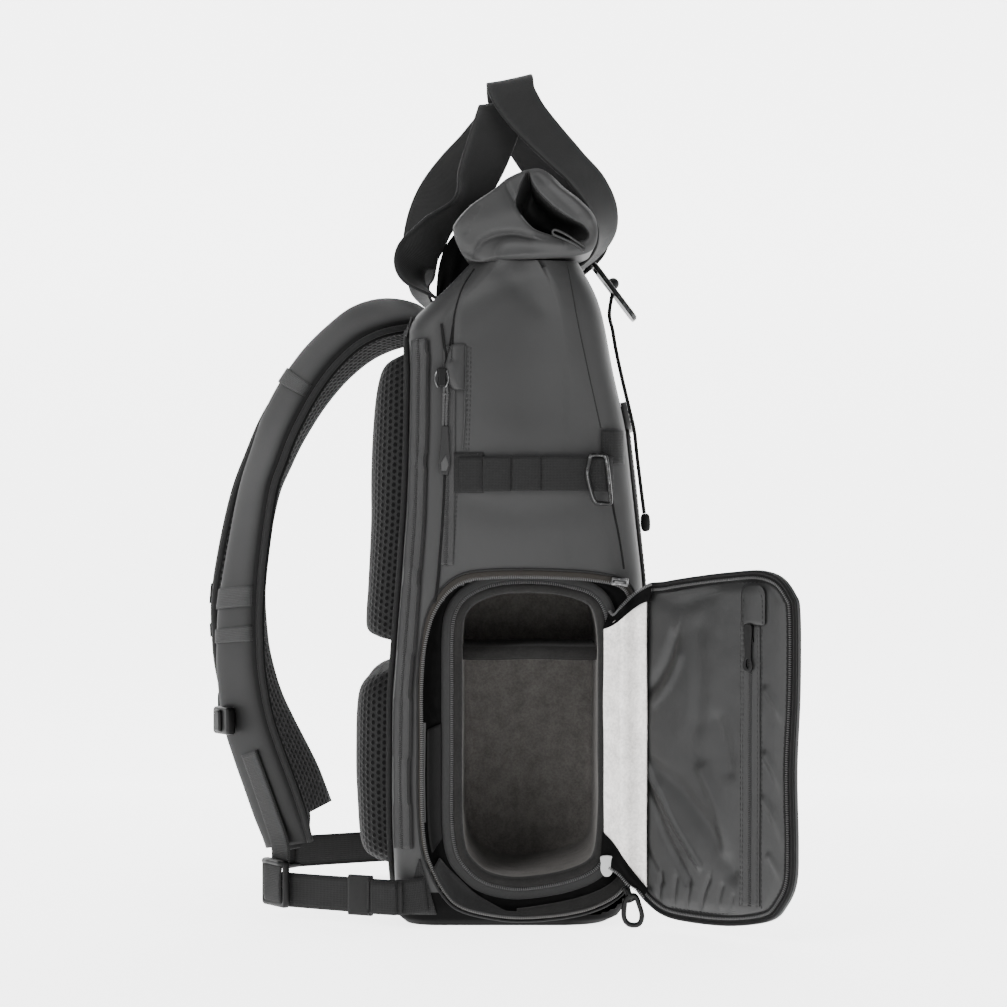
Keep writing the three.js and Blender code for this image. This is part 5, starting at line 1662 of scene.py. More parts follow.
# %% Insert
# Moved in and y, in millimetres: first over the rim's tape, then over the binding and back.
insert_profile = [
    (-7.5, -138.7), (-7.2, -139.6), (-5.5, -140.2), (-3.0, -140.6), (-0.9, -140.5), (-0.2, -139.9),
]
rings = [
    [(x, y * mm, z) for x, z in matched(offset_line(insert_line, -inset * mm), ring_count)]
    for inset, y in insert_profile
]
uv = [[(inset * mm, k * 2 * mm) for k in range(ring_count)] for inset, _ in insert_profile]
insert_parts = [grid_piece("insert_tape", rings, "grey_tape", uv, closed=True, flip=True)]
coil_places = np.array([(x, insert_y - 0.7 * mm, z) for x, z in even_flat(insert_line, 2 * mm)])
insert_parts.append(
    coil("insert_coil", coil_places, same([0, -1.0, 0], coil_places), 1.5 * mm, 2.2 * mm, closed=True)
)
binding_profile = [
    (0.8, -139.2), (1.2, -140.8), (2.6, -141.6), (4.6, -141.6), (6.4, -140.7), (7.4, -138.6),
    (7.6, -132.0), (7.4, -110), (7.3, -80), (7.3, -40), (7.3, -8), (7.6, -3.5), (10, -1.0), (16, 0.2),
]
rings, uv = [], []
for inset, y in binding_profile:
    line = matched(offset_line(insert_line, -inset * mm), ring_count)
    row = []
    for k, (x, z) in enumerate(line):
        ease = min(1, max(0.25, (y + 141) / 12))
        lump = noise.noise(Vector((x * 38, y * 0.02, z * 38))) * 1.1 * mm * ease
        row.append((x + lump * 0.6, y * mm + lump, z + lump * 0.6))
    rings.append(row)
    uv.append([(inset * mm + y * mm, k * 2 * mm) for k in range(ring_count)])
insert_parts.append(
    grid_piece("insert_binding", rings[:7], "felt_band", uv[:7], closed=True, flip=True)
)
insert_parts.append(grid_piece("insert_wall", rings[6:], "felt", uv[6:], closed=True, flip=True))
end_line = offset_line(insert_line, -9.5 * mm)
insert_parts.append(filled("insert_end", end_line, 5 * mm, "felt", lambda x, z: (x, -0.6 * mm, z)))
box_low, box_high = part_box("camera_insert")
cover = rounded_line(
    box_low[0], box_low[2], box_high[0], box_high[2], [12 * mm, 12 * mm, 20 * mm, 20 * mm], 6
)
front_cover = matched(offset_line(insert_line, 7.0 * mm), len(cover) * 4)
cover = matched(cover, len(cover) * 4)
rows = [
    [(x, -138.4 * mm, z) for x, z in front_cover], [(x, -133 * mm, z) for x, z in cover],
    [(x, box_high[1] - 2 * mm, z) for x, z in cover],
    [(x, box_high[1], z) for x, z in offset_line(cover, -2 * mm)],
]
uv = [[(p[0], p[1]) for p in row] for row in rows]
insert_parts.append(grid_piece("insert_cover", rows, "boot", uv, closed=True, flip=True))
insert_parts.append(
    filled("insert_back", offset_line(cover, -2 * mm), 8 * mm, "boot", lambda x, z: (x, box_high[1], z))
)
insert = settle(join("camera_insert", insert_parts), "felt_lining", "camera_insert")

low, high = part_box("insert_divider")
profile = band_profile(high[1] - low[1], high[2] - low[2], 6, 11)
line = [
    (x, (low[1] + high[1]) / 2, (low[2] + high[2]) / 2 + 0.4 * mm * math.sin(x * 90))
    for x in np.linspace(low[0], high[0], 30)
]
shelf = band("insert_divider", line, same([0, 1.0, 0], line), profile, "felt_band")
settle(shelf, "felt_lining", "insert_divider")
print("opening built")

# %% [markdown]
# ## The light lining and the gussets beside it
#
# The lining goes from the insert's right edge out over the mouth and round to the flap. Its
# edges are tables of (x, y, low, high) in millimetres, and the two gussets fill the corners
# between it and the coils.

# %% Lining panel
lining_rows = [
    (67.0, -142.3, 66, 212), (69.6, -143.8, 63, 214), (73.2, -146.5, 58, 216), (76.6, -150.2, 53, 219),
    (79.2, -153.0, 49, 221.5), (83.0, -152.6, 44, 224.5), (87.6, -149.8, 38, 227.5),
    (91.2, -148.6, 33, 229.5), (94.2, -149.8, 30, 231), (96.6, -152.0, 28, 232),
]
smooth_lining = smooth_rows(lining_rows, 6) * mm
rows, uv = [], []
for share in np.linspace(0, 1, 90):
    row = []
    for k, (x, y, low, high) in enumerate(smooth_lining):
        z = low * (1 - share) + high * share
        ripple = noise.noise(Vector((x * 60, 4.0, z * 22))) * 0.5 * mm
        row.append((x + ripple, y + ripple, z))
    rows.append(row)
    uv.append([(k * 1 * mm, row[k][2]) for k in range(len(row))])
lining = grid_piece("lining_panel", rows, "light_felt", uv)
thicken(lining, 1.5 * mm)
settle(lining, "light_lining", "lining_panel")


def corner_cloth(name, low_line, high_line, folds, seed):
    """A gusset between two lines of places in millimetres."""
    low_line, high_line = smooth_rows(low_line, 8) * mm, smooth_rows(high_line, 8) * mm
    rows, uv = [], []
    for step in range(19):
        share = step / 18
        row = low_line * (1 - share) + high_line * share
        dip = math.sin(math.pi * share)
        for k in range(len(row)):
            row[k][1] += folds * dip * noise.noise(Vector((row[k][0] * 110, share * 2.5, seed)))
        rows.append(row)
        uv.append([(share * 0.02, k * 0.001) for k in range(len(row))])
    return thicken(grid_piece(name, rows, "boot", uv), 0.9 * mm)


top_low = [
    (66.5, -142.6, 211), (73, -147.6, 214), (79.4, -154.2, 219.4), (87.5, -151.4, 226), (94, -152, 230),
    (99, -156, 231.5),
]
top_high = [
    (71.0, -142.0, 224), (74, -146.2, 221.5), (79.5, -153, 228.5), (87.5, -151.2, 236),
    (94, -153.5, 240.5), (99.5, -157.5, 243.5),
]
low_high = [
    (66.0, -142.6, 67), (73, -147.6, 60), (79.4, -154.2, 51), (87.5, -151.4, 40), (94, -152, 32),
    (97.5, -155.5, 28),
]
low_low = [
    (64.5, -142.6, 43), (70, -147, 42), (77, -152.5, 38), (84, -152, 30.5), (91, -152.6, 26),
    (94, -154.5, 22),
]
wedges = [
    corner_cloth("wedge_top", top_low, top_high, 1.2 * mm, 2.0),
    corner_cloth("wedge_low", low_low, low_high, 1.2 * mm, 9.0),
]
for edge in (top_high, low_low):
    places = smooth_rows(edge, 10) * mm + np.array([0, -1.2 * mm, 0])
    wedges.append(coil("wedge_coil", places, same([0.1, -1.0, 0], places), 1.5 * mm, 2.2 * mm))
settle(join("opening_wedges", wedges), "base_fabric")

# The back cloth folds in on each side, between the back panel and the roll, and the near-black wedge of
# cloth there is painted shade.
painted_shade_wedges = []
for side in (-1, 1):
    low_line = [
        (-53, side * 92, 436), (-46, side * 88, 452), (-36, side * 82, 466), (-26, side * 76, 480)
    ]
    high_line = [
        (-54, side * 90, 446), (-52.5, side * 84, 470), (-48, side * 77, 488), (-40, side * 70, 500)
    ]
    painted_shade_wedges.append(corner_cloth("back_painted_shade_sheet", low_line, high_line, 2.4 * mm, 5.0 + side))
settle(join("painted_shade_wedges", painted_shade_wedges), "base_fabric")


def middle_of(node):
    """The middle of a fixed node's box."""
    return [(a + b) / 2 for a, b in zip(*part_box(node))]


x, y, z = middle_of("insert_pull")
tag = [
    (-4.2, 7.2), (-4.2, 2.0), (-4.6, -1.5), (-3.6, -4.8), (-1.6, -7.0), (1.6, -7.0), (3.6, -4.8),
    (4.6, -1.5), (4.2, 2.0), (4.2, 7.2),
]
tag = closed_curve(tag)
insert_pull = plate(
    "insert_pull", [tag], 2.0 * mm, 0.6 * mm, "light_rubber", (x, y - 6.0 * mm, z), (1, 0, 0), (0, 0, 1)
)
settle(insert_pull, "light_lining", "insert_pull")


def slider_parts(name, place, out, up, look):
    """A zip slider's body and the bridge over it."""
    out, up = unit(np.array(out, float)), unit(np.array(up, float))
    right = np.cross(up, out)
    edge = [
        (-3.2, 5), (-2.0, 6.2), (2.0, 6.2), (3.2, 5), (2.4, 0), (3.0, -5), (1.6, -6), (-1.6, -6),
        (-3.0, -5), (-2.4, 0),
    ]
    edge = closed_curve(edge)
    body = plate(name, [edge[::-1]], 3.0 * mm, 1.0 * mm, look, place, right, up, 3)
    bridge = [
        np.array(place) + up * a * mm + out * (1.5 + 2.0 * math.cos(a / 4.5 * math.pi / 2)) * mm
        for a in np.linspace(-4.5, 4.5, 9)
    ]
    return [body, band("bridge", bridge, same(right, bridge), band_profile(2.2 * mm, 1.1 * mm), look)]


x, _, z = middle_of("opening_slider_top")
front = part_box("opening_slider_top")[0][1]
parts = slider_parts("opening_slider_top", (x, front + 1.6 * mm, z), (0, -1, 0), (1, 0, -0.1), "steel")
settle(join("opening_slider_top", parts), "dark_metal", "opening_slider_top")
x, _, z = middle_of("opening_slider_bottom")
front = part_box("opening_slider_bottom")[0][1]
place = (x + 2 * mm, front + 1.6 * mm, z + 5 * mm)
parts = slider_parts("opening_slider_bottom", place, (0.2, -1, 0), (0.4, 0, -1), "plastic")
ring_line = [
    (0, 0), (-4.2, -2), (-6.0, -8), (-6.0, -16), (-2.0, -20.5), (4.5, -20), (6.5, -14), (4.4, -6),
    (2.4, -1),
]
ring_line = closed_curve(ring_line, 5)
loop_places = [np.array([x + 5.0 * mm + a, front - 0.5 * mm, z + 4 * mm + b]) for a, b in ring_line]
parts.append(tube("pull_loop", loop_places, 1.9 * mm, "plastic", 8, closed=True))
settle(join("opening_slider_bottom", parts), "dark_metal", "opening_slider_bottom")
print("lining and gussets built")

# %% [markdown]
# ## The flap
#
# The flap stands at 45 degrees to the side. Its own frame has u along it from the hinge, z up
# and w out of its inner face. Its outline and its wrinkles are tables in millimetres.

# %% Flap
turn = math.radians(45)
flap_along = np.array([math.cos(turn), -math.sin(turn), 0])
flap_inward = np.array([-math.sin(turn), -math.cos(turn), 0])
hinge = np.array([91.8 * mm, -141.0 * mm, 0])


def flap_point(u, z, w=0.0):
    """A place on the flap; w is how far it stands out of the inner face."""
    return hinge + flap_along * u + flap_inward * w + np.array([0, 0, z])


flap_rows = [
    (5.5, 240.5), (26.6, 245.8), (60, 250.5), (87.5, 253.4), (110.8, 254.8), (128.4, 250.6),
    (140.0, 239.3), (144.2, 225.9), (144.2, 172.4), (141.5, 120.2), (142.6, 68.9), (141.2, 43),
    (132.8, 26.6), (119.6, 15.4), (87.5, 8.8), (50, 7.4), (23.8, 9.8), (4.9, 19.5), (-3.8, 29.8),
    (-2.6, 50), (-1.2, 93), (-1.0, 133), (-0.6, 173), (1.5, 210),
]
flap_folds = [
    # line (u, z), width, depth (in is positive), share of step
    ([(9, 166), (18.1, 175.6), (25.7, 185.1), (31.3, 195.9), (36, 207)], 4.5, 2.0, 0.2),
    ([(16, 160), (26, 170), (34, 181), (40, 194)], 4, -1.0, 0.0),
    ([(8, 117), (15, 104), (21.9, 95.9), (33.2, 78.5), (46.3, 62.7), (59.3, 47.8)], 1.8, -2.2, 0.1),
    ([(14, 116), (34.2, 104.6), (48.2, 94), (71.2, 72), (89.3, 47.7)], 7, 2.4, 0.2),
    ([(9, 100), (20, 80.3), (27.6, 66.7), (48.2, 36.9)], 3.2, 2.0, 0.0),
    ([(62, 114.9), (73.9, 94.9), (79.4, 80), (82.1, 60.9)], 5.5, -1.8, 0.2),
    ([(119.6, 173.3), (127.6, 162.8), (136.3, 151)], 2.6, -1.2, 0.0),
    ([(118.8, 128.9), (126.7, 117.8), (134.6, 102.7)], 2.6, -1.2, 0.0),
    ([(117, 98.1), (127.6, 85.2), (136.3, 65.6)], 2.8, -1.2, 0.0),
    ([(122, 60), (130, 50), (136, 38)], 2.4, -1.0, 0.0),
    ([(57.4, 212), (59.3, 177.4), (57.4, 149.4)], 8, 0.9, 0.0),
    ([(75.7, 150.4), (83, 133.6), (86.6, 116.5)], 6, 1.0, 0.0),
    ([(68.4, 40), (62.9, 27.9), (60.2, 17)], 1.8, 1.6, 0.3),
    ([(24, 40), (22, 26), (22, 16)], 1.8, 1.0, 0.2),
    ([(38, 38), (36, 26), (35, 15)], 1.8, 0.9, 0.2),
    ([(50, 34), (48, 24), (47, 15)], 1.8, 1.0, 0.2),
    ([(80, 36), (77, 26), (76, 16)], 1.8, 1.0, 0.2),
    ([(90, 30), (88, 22), (87, 16)], 1.6, 0.9, 0.2),
    ([(8, 60), (14, 48), (24, 34)], 2.5, 1.2, 0.0),
    ([(20, 236), (40, 230), (70, 238)], 6, 0.7, 0.0),
]
flap_outline = closed_curve(flap_rows, 8)
flap_edge = even_flat(flap_outline, 2 * mm)

flap_body = plate(
    "flap_body", [flap_outline], 5.4 * mm, 2.0 * mm, "coated", flap_point(0, 0, -2.8 * mm), flap_along,
    (0, 0, 1), 3,
)
settle(flap_body, "coated_fabric", "side_flap")

cloth_line = offset_line(flap_outline, -7.5 * mm)
cloth_line[:, 0] = np.maximum(cloth_line[:, 0], 2.0 * mm + np.abs(cloth_line[:, 1] - 130 * mm) * 0.02)
low, high = cloth_line[:, 1].min() + 0.4 * mm, cloth_line[:, 1].max() - 0.4 * mm
grid_u, grid_z = [], []
for z in np.linspace(low, high, 190):
    left, right = span(cloth_line, z)
    grid_u.append(np.linspace(left, right, 100))
    grid_z.append(np.full(100, z))
grid_u, grid_z = np.array(grid_u), np.array(grid_z)
dents = fold_depth(grid_u, grid_z, flap_folds)
soft = np.array(
    [
        noise.noise(
            Vector((u * 24, z * 16, 3))
        ) * 0.9 * mm + noise.noise(Vector((u * 70, z * 60, 8))) * 0.25 * mm
        for u, z in zip(grid_u.ravel(), grid_z.ravel())
    ]
).reshape(grid_u.shape)
edge_gap = np.minimum.reduce([
    grid_u - grid_u[:, :1], grid_u[:, -1:] - grid_u, grid_z - low, high - grid_z
])
rise = np.clip(edge_gap / (9 * mm), 0, 1)
stand = 0.6 * mm + (1 - (1 - rise) ** 2) * (1.8 * mm - dents + soft)
upward = np.stack([np.zeros_like(grid_z), np.zeros_like(grid_z), grid_z], axis=-1)
cloth_grid = hinge + flap_along * grid_u[..., None] + flap_inward * stand[..., None] + upward
cloth_uv = np.stack([grid_u, grid_z], axis=-1)
flap_cloth = grid_piece("flap_pocket", cloth_grid, "satin", cloth_uv)
cloth_tree = tree_of(flap_cloth)
thicken(flap_cloth, 0.7 * mm)
settle(flap_cloth, "satin_nylon", "flap_pocket")


def on_flap(u, z, lift=0.0):
    """The place on the flap's cloth at (u, z), lifted off it, and the direction out of it."""
    start = Vector(flap_point(u, z, 60 * mm))
    place, normal, _, _ = cloth_tree.ray_cast(start, Vector(-flap_inward))
    if place is None:
        return flap_point(u, z, 1.0 * mm + lift), flap_inward
    normal = np.array(normal)
    if normal @ flap_inward < 0:
        normal = -normal
    return np.array(place) + flap_inward * lift, normal


def flap_caster(u, z, lift, _side):
    """The same in the form that laid asks for; the flap has one side only."""
    return on_flap(u, z, lift)

print("flap's cloth:", len(flap_cloth.data.polygons), "faces and", len(flap_folds), "folds")

# %% [markdown]
# Round the flap's edge run a black piping, a tape and the coil. The pocket in it has a zip with
# a garage and a long tongue as its pull.

# %% Flap zips
def edge_places(inset, w):
    """The flap's edge moved in by inset, w out of its inner face."""
    return np.array([flap_point(u, z, w) for u, z in offset_line(flap_edge, -inset)])


flap_out = same(flap_inward, flap_edge)
rows, uv = [], []
for inset, w in [(0.2, -1.4), (0.6, 0.3), (2.2, 1.0), (5.0, 1.1), (7.8, 1.3), (9.4, 0.9), (9.6, 0.2)]:
    rows.append(edge_places(inset * mm, w * mm))
    uv.append([(inset * mm, k * 2 * mm) for k in range(len(flap_edge))])
coil_line, piping_line = edge_places(5.2 * mm, 1.7 * mm), edge_places(1.3 * mm, 0.9 * mm)
zip_parts = [
    grid_piece("flap_tape", rows, "black_tape", uv, closed=True, flip=True),
    coil("flap_coil", coil_line, flap_out, 1.5 * mm, 2.0 * mm, "coil_flap", closed=True),
    tube("flap_piping", piping_line, 1.3 * mm, "black_tape", closed=True),
    stitches("flap_stitches", edge_places(8.4 * mm, 1.5 * mm), flap_out, closed=True),
]
settle(join("flap_zip", zip_parts), "zip_tape", "flap_zip")

pocket_line = [(106.2, 217), (106.4, 160), (106.2, 100), (105.8, 60), (105.6, 25)]
pocket_line = smooth_rows(pocket_line, 12) * mm
half = 8.2 * mm
pocket_tape = tape_strip("pocket_tape", pocket_line, np.linspace(-half, half, 15), on_flap, 0.8 * mm)
places, out = laid(pocket_line, 1.6 * mm, flap_caster, -1)
parts = [pocket_tape, coil("pocket_coil", places, out, 1.5 * mm, 2.6 * mm, "coil_dark")]
for offset in (-half - 1.2 * mm, -half + 1.6 * mm, half - 1.6 * mm, half + 1.2 * mm):
    line = [(u + offset, z) for u, z in pocket_line]
    row, row_out = laid(line, 1.5 * mm if abs(offset) < half else 0.5 * mm, flap_caster, -1)
    parts.append(stitches("pocket_stitches", row, row_out))
settle(join("flap_pocket_zip", parts), "zip_tape", "flap_pocket_zip")

garage_line = rounded_line(
    98.8 * mm, 217.4 * mm, 119.5 * mm, 245 * mm, [2 * mm, 2 * mm, 7 * mm, 7 * mm], 5
)


def on_garage(u, z):
    """The garage arches over the slider and comes down to the cloth at its lower end."""
    arch = math.cos((u - 108.6 * mm) * 140) * min(1, (z - 216 * mm) / (3 * mm))
    return on_flap(u, z, 1.4 * mm + 1.4 * mm * arch)[0]


garage = thicken(filled("flap_zip_garage", garage_line, 1.2 * mm, "satin", on_garage), 0.9 * mm)
garage_seam = [(100.4, 219), (100.8, 236), (104, 242.5), (114, 242.5), (117.6, 236), (118, 219)]
row, row_out = laid(np.array(garage_seam) * mm, 2.6 * mm, flap_caster, -1)
garage = join("flap_zip_garage", [garage, stitches("garage_stitches", row, row_out)])
settle(garage, "satin_nylon", "flap_zip_garage")

tongue = smooth_rows(
    [
        (-3.4, 14), (-3.6, 8), (-3.0, 0), (-3.0, -8), (-4.4, -13), (-3.2, -16.6), (0, -17.6),
        (3.2, -16.6), (4.4, -13), (3.0, -8), (3.0, 0), (3.6, 8), (3.4, 14), (0, 15.4),
    ],
    4, closed=True,
) * mm
hole = smooth_rows(
    [(0, -8.6), (1.3, -10.4), (1.3, -13.4), (0, -15.2), (-1.3, -13.4), (-1.3, -10.4)], 5, closed=True
) * mm
place = on_flap(106.2 * mm, 203 * mm, 3.6 * mm)[0]
slider = plate(
    "flap_zip_slider", [tongue[::-1], hole], 1.8 * mm, 0.6 * mm, "plastic", place, flap_along,
    (0, 0, 1), 2,
)
body_line = smooth_rows(
    [(-3.6, 5), (0, 6.2), (3.6, 5), (3.0, -1), (3.6, -6), (0, -7), (-3.6, -6), (-3.0, -1)], 4,
    closed=True,
) * mm
body = plate(
    "slider_body", [body_line[::-1]], 2.6 * mm, 0.9 * mm, "plastic",
    on_flap(106.2 * mm, 212 * mm, 2.4 * mm)[0], flap_along, (0, 0, 1), 2,
)
settle(join("flap_zip_slider", [slider, body]), "hard_plastic", "flap_zip_slider")
print("flap built")

# %% [markdown]
# ## The side pocket and the side strap
#
# Black piping edges the side panel. Beside it the pocket's zip runs down from a hooded garage,
# with a cord pull that ends in a rubber tab. The strap beyond it is webbing sewn down into three
# loops, and its last loop holds a bent metal hook.

# %% Side pocket
tape_line = smooth_rows([(-43.0, 412), (-43.2, 380), (-43.3, 330), (-43.8, 290), (-44.6, 257)], 10) * mm
offsets = np.linspace(-4.2 * mm, 4.4 * mm, 9)
pocket_parts = [tape_strip("side_tape", tape_line, offsets, on_bag, 0.9 * mm)]
places, out = laid([(x - 0.8 * mm, z) for x, z in tape_line], 1.5 * mm)
pocket_parts.append(coil("side_coil", places, out, 1.5 * mm, 2.4 * mm, "coil_dark"))
piping_rows = [
    (-48.6, 428), (-46.6, 412), (-45.6, 404), (-46.2, 380), (-46.0, 327), (-47.6, 287), (-49.6, 262),
    (-51.2, 244), (-53.2, 230),
]
upper_seam = [(-40.6, 427), (-42.6, 414), (-45.2, 404)]
crease = [(-41.1, 402), (-40.4, 423.3), (-38.9, 437.5), (-33.3, 455.2), (-25.5, 468.0)]
edge_rows = [(-31.6, 413), (-31.8, 390), (-32.2, 360), (-33.6, 339)]
for name, line, lift, radius, look, sides in [
    ("side_piping", piping_rows, 0.7, 1.2, "black_tape", 8),
    ("side_seam", upper_seam, 0.1, 0.7, "black_tape", 6),
    ("side_seam", crease, 0.1, 0.7, "black_tape", 6),
    ("pocket_edge", edge_rows, 0.3, 0.8, "coated", 6),
]:
    pocket_parts.append(seam(name, smooth_rows(line, 6) * mm, lift * mm, radius * mm, look, sides))
columns = [
    [(-31.4 + offset, 412 - offset * 0.4), (-31.6 + offset, 380), (-32.8 + offset, 339)]
    for offset in (1.6, 3.6)
]
columns.append([(-37.5, 308), (-38.5, 285), (-40, 262)])
for column in columns:
    places, out = laid(smooth_rows(column, 8) * mm, 0.3 * mm)
    pocket_parts.append(stitches("pocket_stitches", places, out, 3.4 * mm, 2.2 * mm))
settle(join("side_pocket_zip", pocket_parts), "zip_tape", "side_pocket_zip")

rows, uv = [], []
hood_rows = [
    (413.4, -40.4, -32.2, 0.6), (412.4, -42.4, -32.0, 2.6), (408, -44.0, -32.0, 3.6),
    (400, -45.8, -32.0, 4.4), (392, -47.2, -32.0, 4.8), (386, -44.0, -32.2, 4.6),
    (381.0, -40.0, -32.4, 4.0),
]
for z, left, right, rise in smooth_rows(hood_rows, 6):
    row = []
    for share in np.linspace(0, 1, 14):
        x = (left * (1 - share) + right * share) * mm
        stand = 0.5 + rise * math.sin(math.pi * min(1, share * 0.9 + 0.1)) ** 0.7
        row.append(on_bag(x, z * mm, stand * mm)[0])
    rows.append(row)
    uv.append([(p[0], p[2]) for p in row])
hood = thicken(grid_piece("side_pocket_garage", rows, "coated", uv), 1.0 * mm)
settle(hood, "coated_fabric", "side_pocket_garage")

low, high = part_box("side_pocket_slider")
place = np.array([(low[0] + high[0]) / 2, low[1] + 1.8 * mm, (low[2] + high[2]) / 2 - 1 * mm])
body_line = smooth_rows(
    [
        (-3.4, 6), (0, 7.2), (3.4, 6), (2.8, 0), (3.4, -5.5), (1.6, -6.6), (-1.6, -6.6), (-3.4, -5.5),
        (-2.8, 0),
    ],
    4, closed=True,
) * mm
parts = [
    plate("side_slider", [body_line], 3.2 * mm, 1.1 * mm, "plastic", place, steps=3)
]
# The two thin steel arcs on the slider's face are painted highlights on its edges.
for start, end, bow in ((-3.6, -3.0, -1.8), (3.2, 2.4, 1.8)):
    arc = []
    for s in np.linspace(0, 1, 9):
        aside = start * (1 - s) + end * s + bow * math.sin(math.pi * s)
        arc.append(place + np.array([aside * mm, -1.6 * mm, (5 - 12 * s) * mm]))
    parts.append(tube("slider_painted_highlight", arc, 0.55 * mm, "steel", 6))
settle(join("side_pocket_slider", parts), "dark_metal", "side_pocket_slider")

pull_parts = []
pull_x = -45.6 * mm
pull_y = on_bag(pull_x, 360 * mm)[0][1] - 3.0 * mm
for shift in (-1.1, 1.1):
    strand = smooth_rows(
        [
            (pull_x + shift * 0.5 * mm, pull_y + 0.6 * mm, 387 * mm),
            (pull_x + shift * mm, pull_y - 0.5 * mm, 378 * mm),
            (pull_x + (shift * 0.9 - 0.4) * mm, pull_y, 366 * mm),
            (pull_x + (shift - 0.8) * mm, pull_y, 352 * mm),
        ],
        6,
    )
    pull_parts.append(tube("pull_cord", strand, 0.95 * mm, "thread_cord", 8))
pull_parts.append(
    tube(
        "pull_knot",
        [
            (pull_x - 1.8 * mm, pull_y - 0.3 * mm, 377.6 * mm), (pull_x, pull_y - 1.5 * mm, 377.9 * mm),
            (pull_x + 1.8 * mm, pull_y - 0.3 * mm, 377.6 * mm),
        ],
        1.0 * mm, "thread_cord", 8,
    )
)
tab_line = [
    (-2.4, 20), (2.4, 20), (3.1, 4), (3.8, -7.4), (1.8, -14.6), (-3.2, -14.6), (-5.2, -8.0), (-3.8, 2)
]
tab_line = np.array(tab_line) * mm
tab_place = np.array([pull_x - 0.2 * mm, pull_y - 0.1 * mm, 335.5 * mm])
pull_parts.append(
    plate("pull_tab", [tab_line[::-1]], 3.4 * mm, 0.9 * mm, "rubber", tab_place, steps=3)
)
gem = np.array([(0.4, -0.8), (-3.0, -6.4), (-2.6, -11.8), (1.0, -11.8), (2.6, -7.4)]) * mm
pull_parts.append(
    plate(
        "pull_gem", [gem], 1.2 * mm, 0.5 * mm, "pull_face", tab_place + np.array([0, -1.7 * mm, 0]),
        steps=2,
    )
)
settle(join("side_pocket_pull", pull_parts), "pull_rubber", "side_pocket_pull")
print("side pocket built of", len(pocket_parts) + len(parts) + len(pull_parts), "parts")

# %% [markdown]
# The strap is one strip of webbing, so its loops are a table of how far it stands off the bag.
# A curve with a bevel would give the same path, but not the webbing's flat section and its UV.
# The hook is a flat bar bent into a closed outline, with thin steel tubes over two of its edges as
# painted highlights.

# %% Side strap and hook
side_low, side_high = 308.6 * mm, 334.6 * mm
strap_middle = (side_low + side_high) / 2
rows, uv = [], []
for z in np.linspace(side_low - 0.6 * mm, side_high + 2.0 * mm, 14):
    rows.append([on_bag(x, z, 1.0 * mm)[0] for x in np.linspace(-39.4 * mm, -18.6 * mm, 14)])
    uv.append([(z, p[0]) for p in rows[-1]])
patch = thicken(grid_piece("side_patch", rows, "fine_webbing", uv), 1.4 * mm)
places, out = laid([(-22.6 * mm, side_high + 1 * mm), (-23.6 * mm, side_low + 1 * mm)], 1.6 * mm)
patch = join(
    "side_patch", [patch, stitches("patch_holes", places, out, 2.7 * mm, 1.4 * mm, "binding", 1.2 * mm)]
)
settle(patch, "webbing", "side_patch")

loop_rows = [
    (-36, 1.2), (-26, 1.6), (-19.6, 1.5), (-18.7, 1.1), (-18.0, 3.6), (-16, 4.6), (-9, 5.0), (-2, 4.4),
    (0.2, 3.2), (0.9, 0.9), (1.8, 3.2), (4, 4.4), (11, 4.9), (18.6, 4.2), (21.2, 3.0), (22.0, 0.9),
    (23.0, 3.0), (26, 4.2), (36, 4.9), (46, 4.9), (54, 5.0), (60, 5.8), (66, 6.4), (69.4, 5.6),
    (71.4, 3.6), (72.2, 1.6),
]
loop_line = []
for x, lift in even_flat(smooth_rows(loop_rows, 6), 0.7, closed=False):
    loop_line.append(on_bag(x * mm, strap_middle, lift * mm)[0])
loop_line = np.array(loop_line)
loop_line[:, 2] = strap_middle + 0.3 * mm * np.sin(loop_line[:, 0] * 60)
side_strap = band(
    "side_strap", loop_line, same([0, 0, 1.0], loop_line), band_profile(webbing_width, 1.6 * mm, 3, 13),
    "fine_webbing",
)
settle(side_strap, "webbing", "side_strap")

hook_rows = [
    (57.2, 334.0), (55.6, 328), (54.6, 320.7), (56.6, 311), (59.0, 303.6), (61.0, 301.2), (66, 300.6),
    (70.4, 300.6), (71.2, 303.4), (69.9, 317), (68.2, 331), (66.6, 334.2), (61.6, 334.8),
]
hook_line = closed_curve(hook_rows, 5)
hook_places = []
for x, z in hook_line:
    share = (x - 54.6 * mm) / (17 * mm)
    hook_places.append((x, -158.6 * mm + 3.4 * mm * max(0, share) ** 1.4, z))
profile = np.array(
    [(1.7, 0.0), (1.2, 1.1), (0, 1.5), (-1.2, 1.1), (-1.7, 0.0), (-1.2, -1.1), (0, -1.5), (1.2, -1.1)]
) * mm
hook = band(
    "side_hook", hook_places, same([0, 1.0, 0], hook_places), profile, "metal", closed=True, sharp=35
)
# Thin steel tubes on the hook's face, along its two bars, are painted highlights on its edges.
painted_highlight_edges = []
for first, last in ((8, 26), (44, 56)):
    edge = [np.array(place) + np.array([0, -1.7 * mm, 0]) for place in hook_places[first:last]]
    painted_highlight_edges.append(tube("hook_painted_highlight", edge, 0.45 * mm, "steel", 6))
settle(join("side_buckle", [hook] + painted_highlight_edges), "dark_metal", "side_buckle")

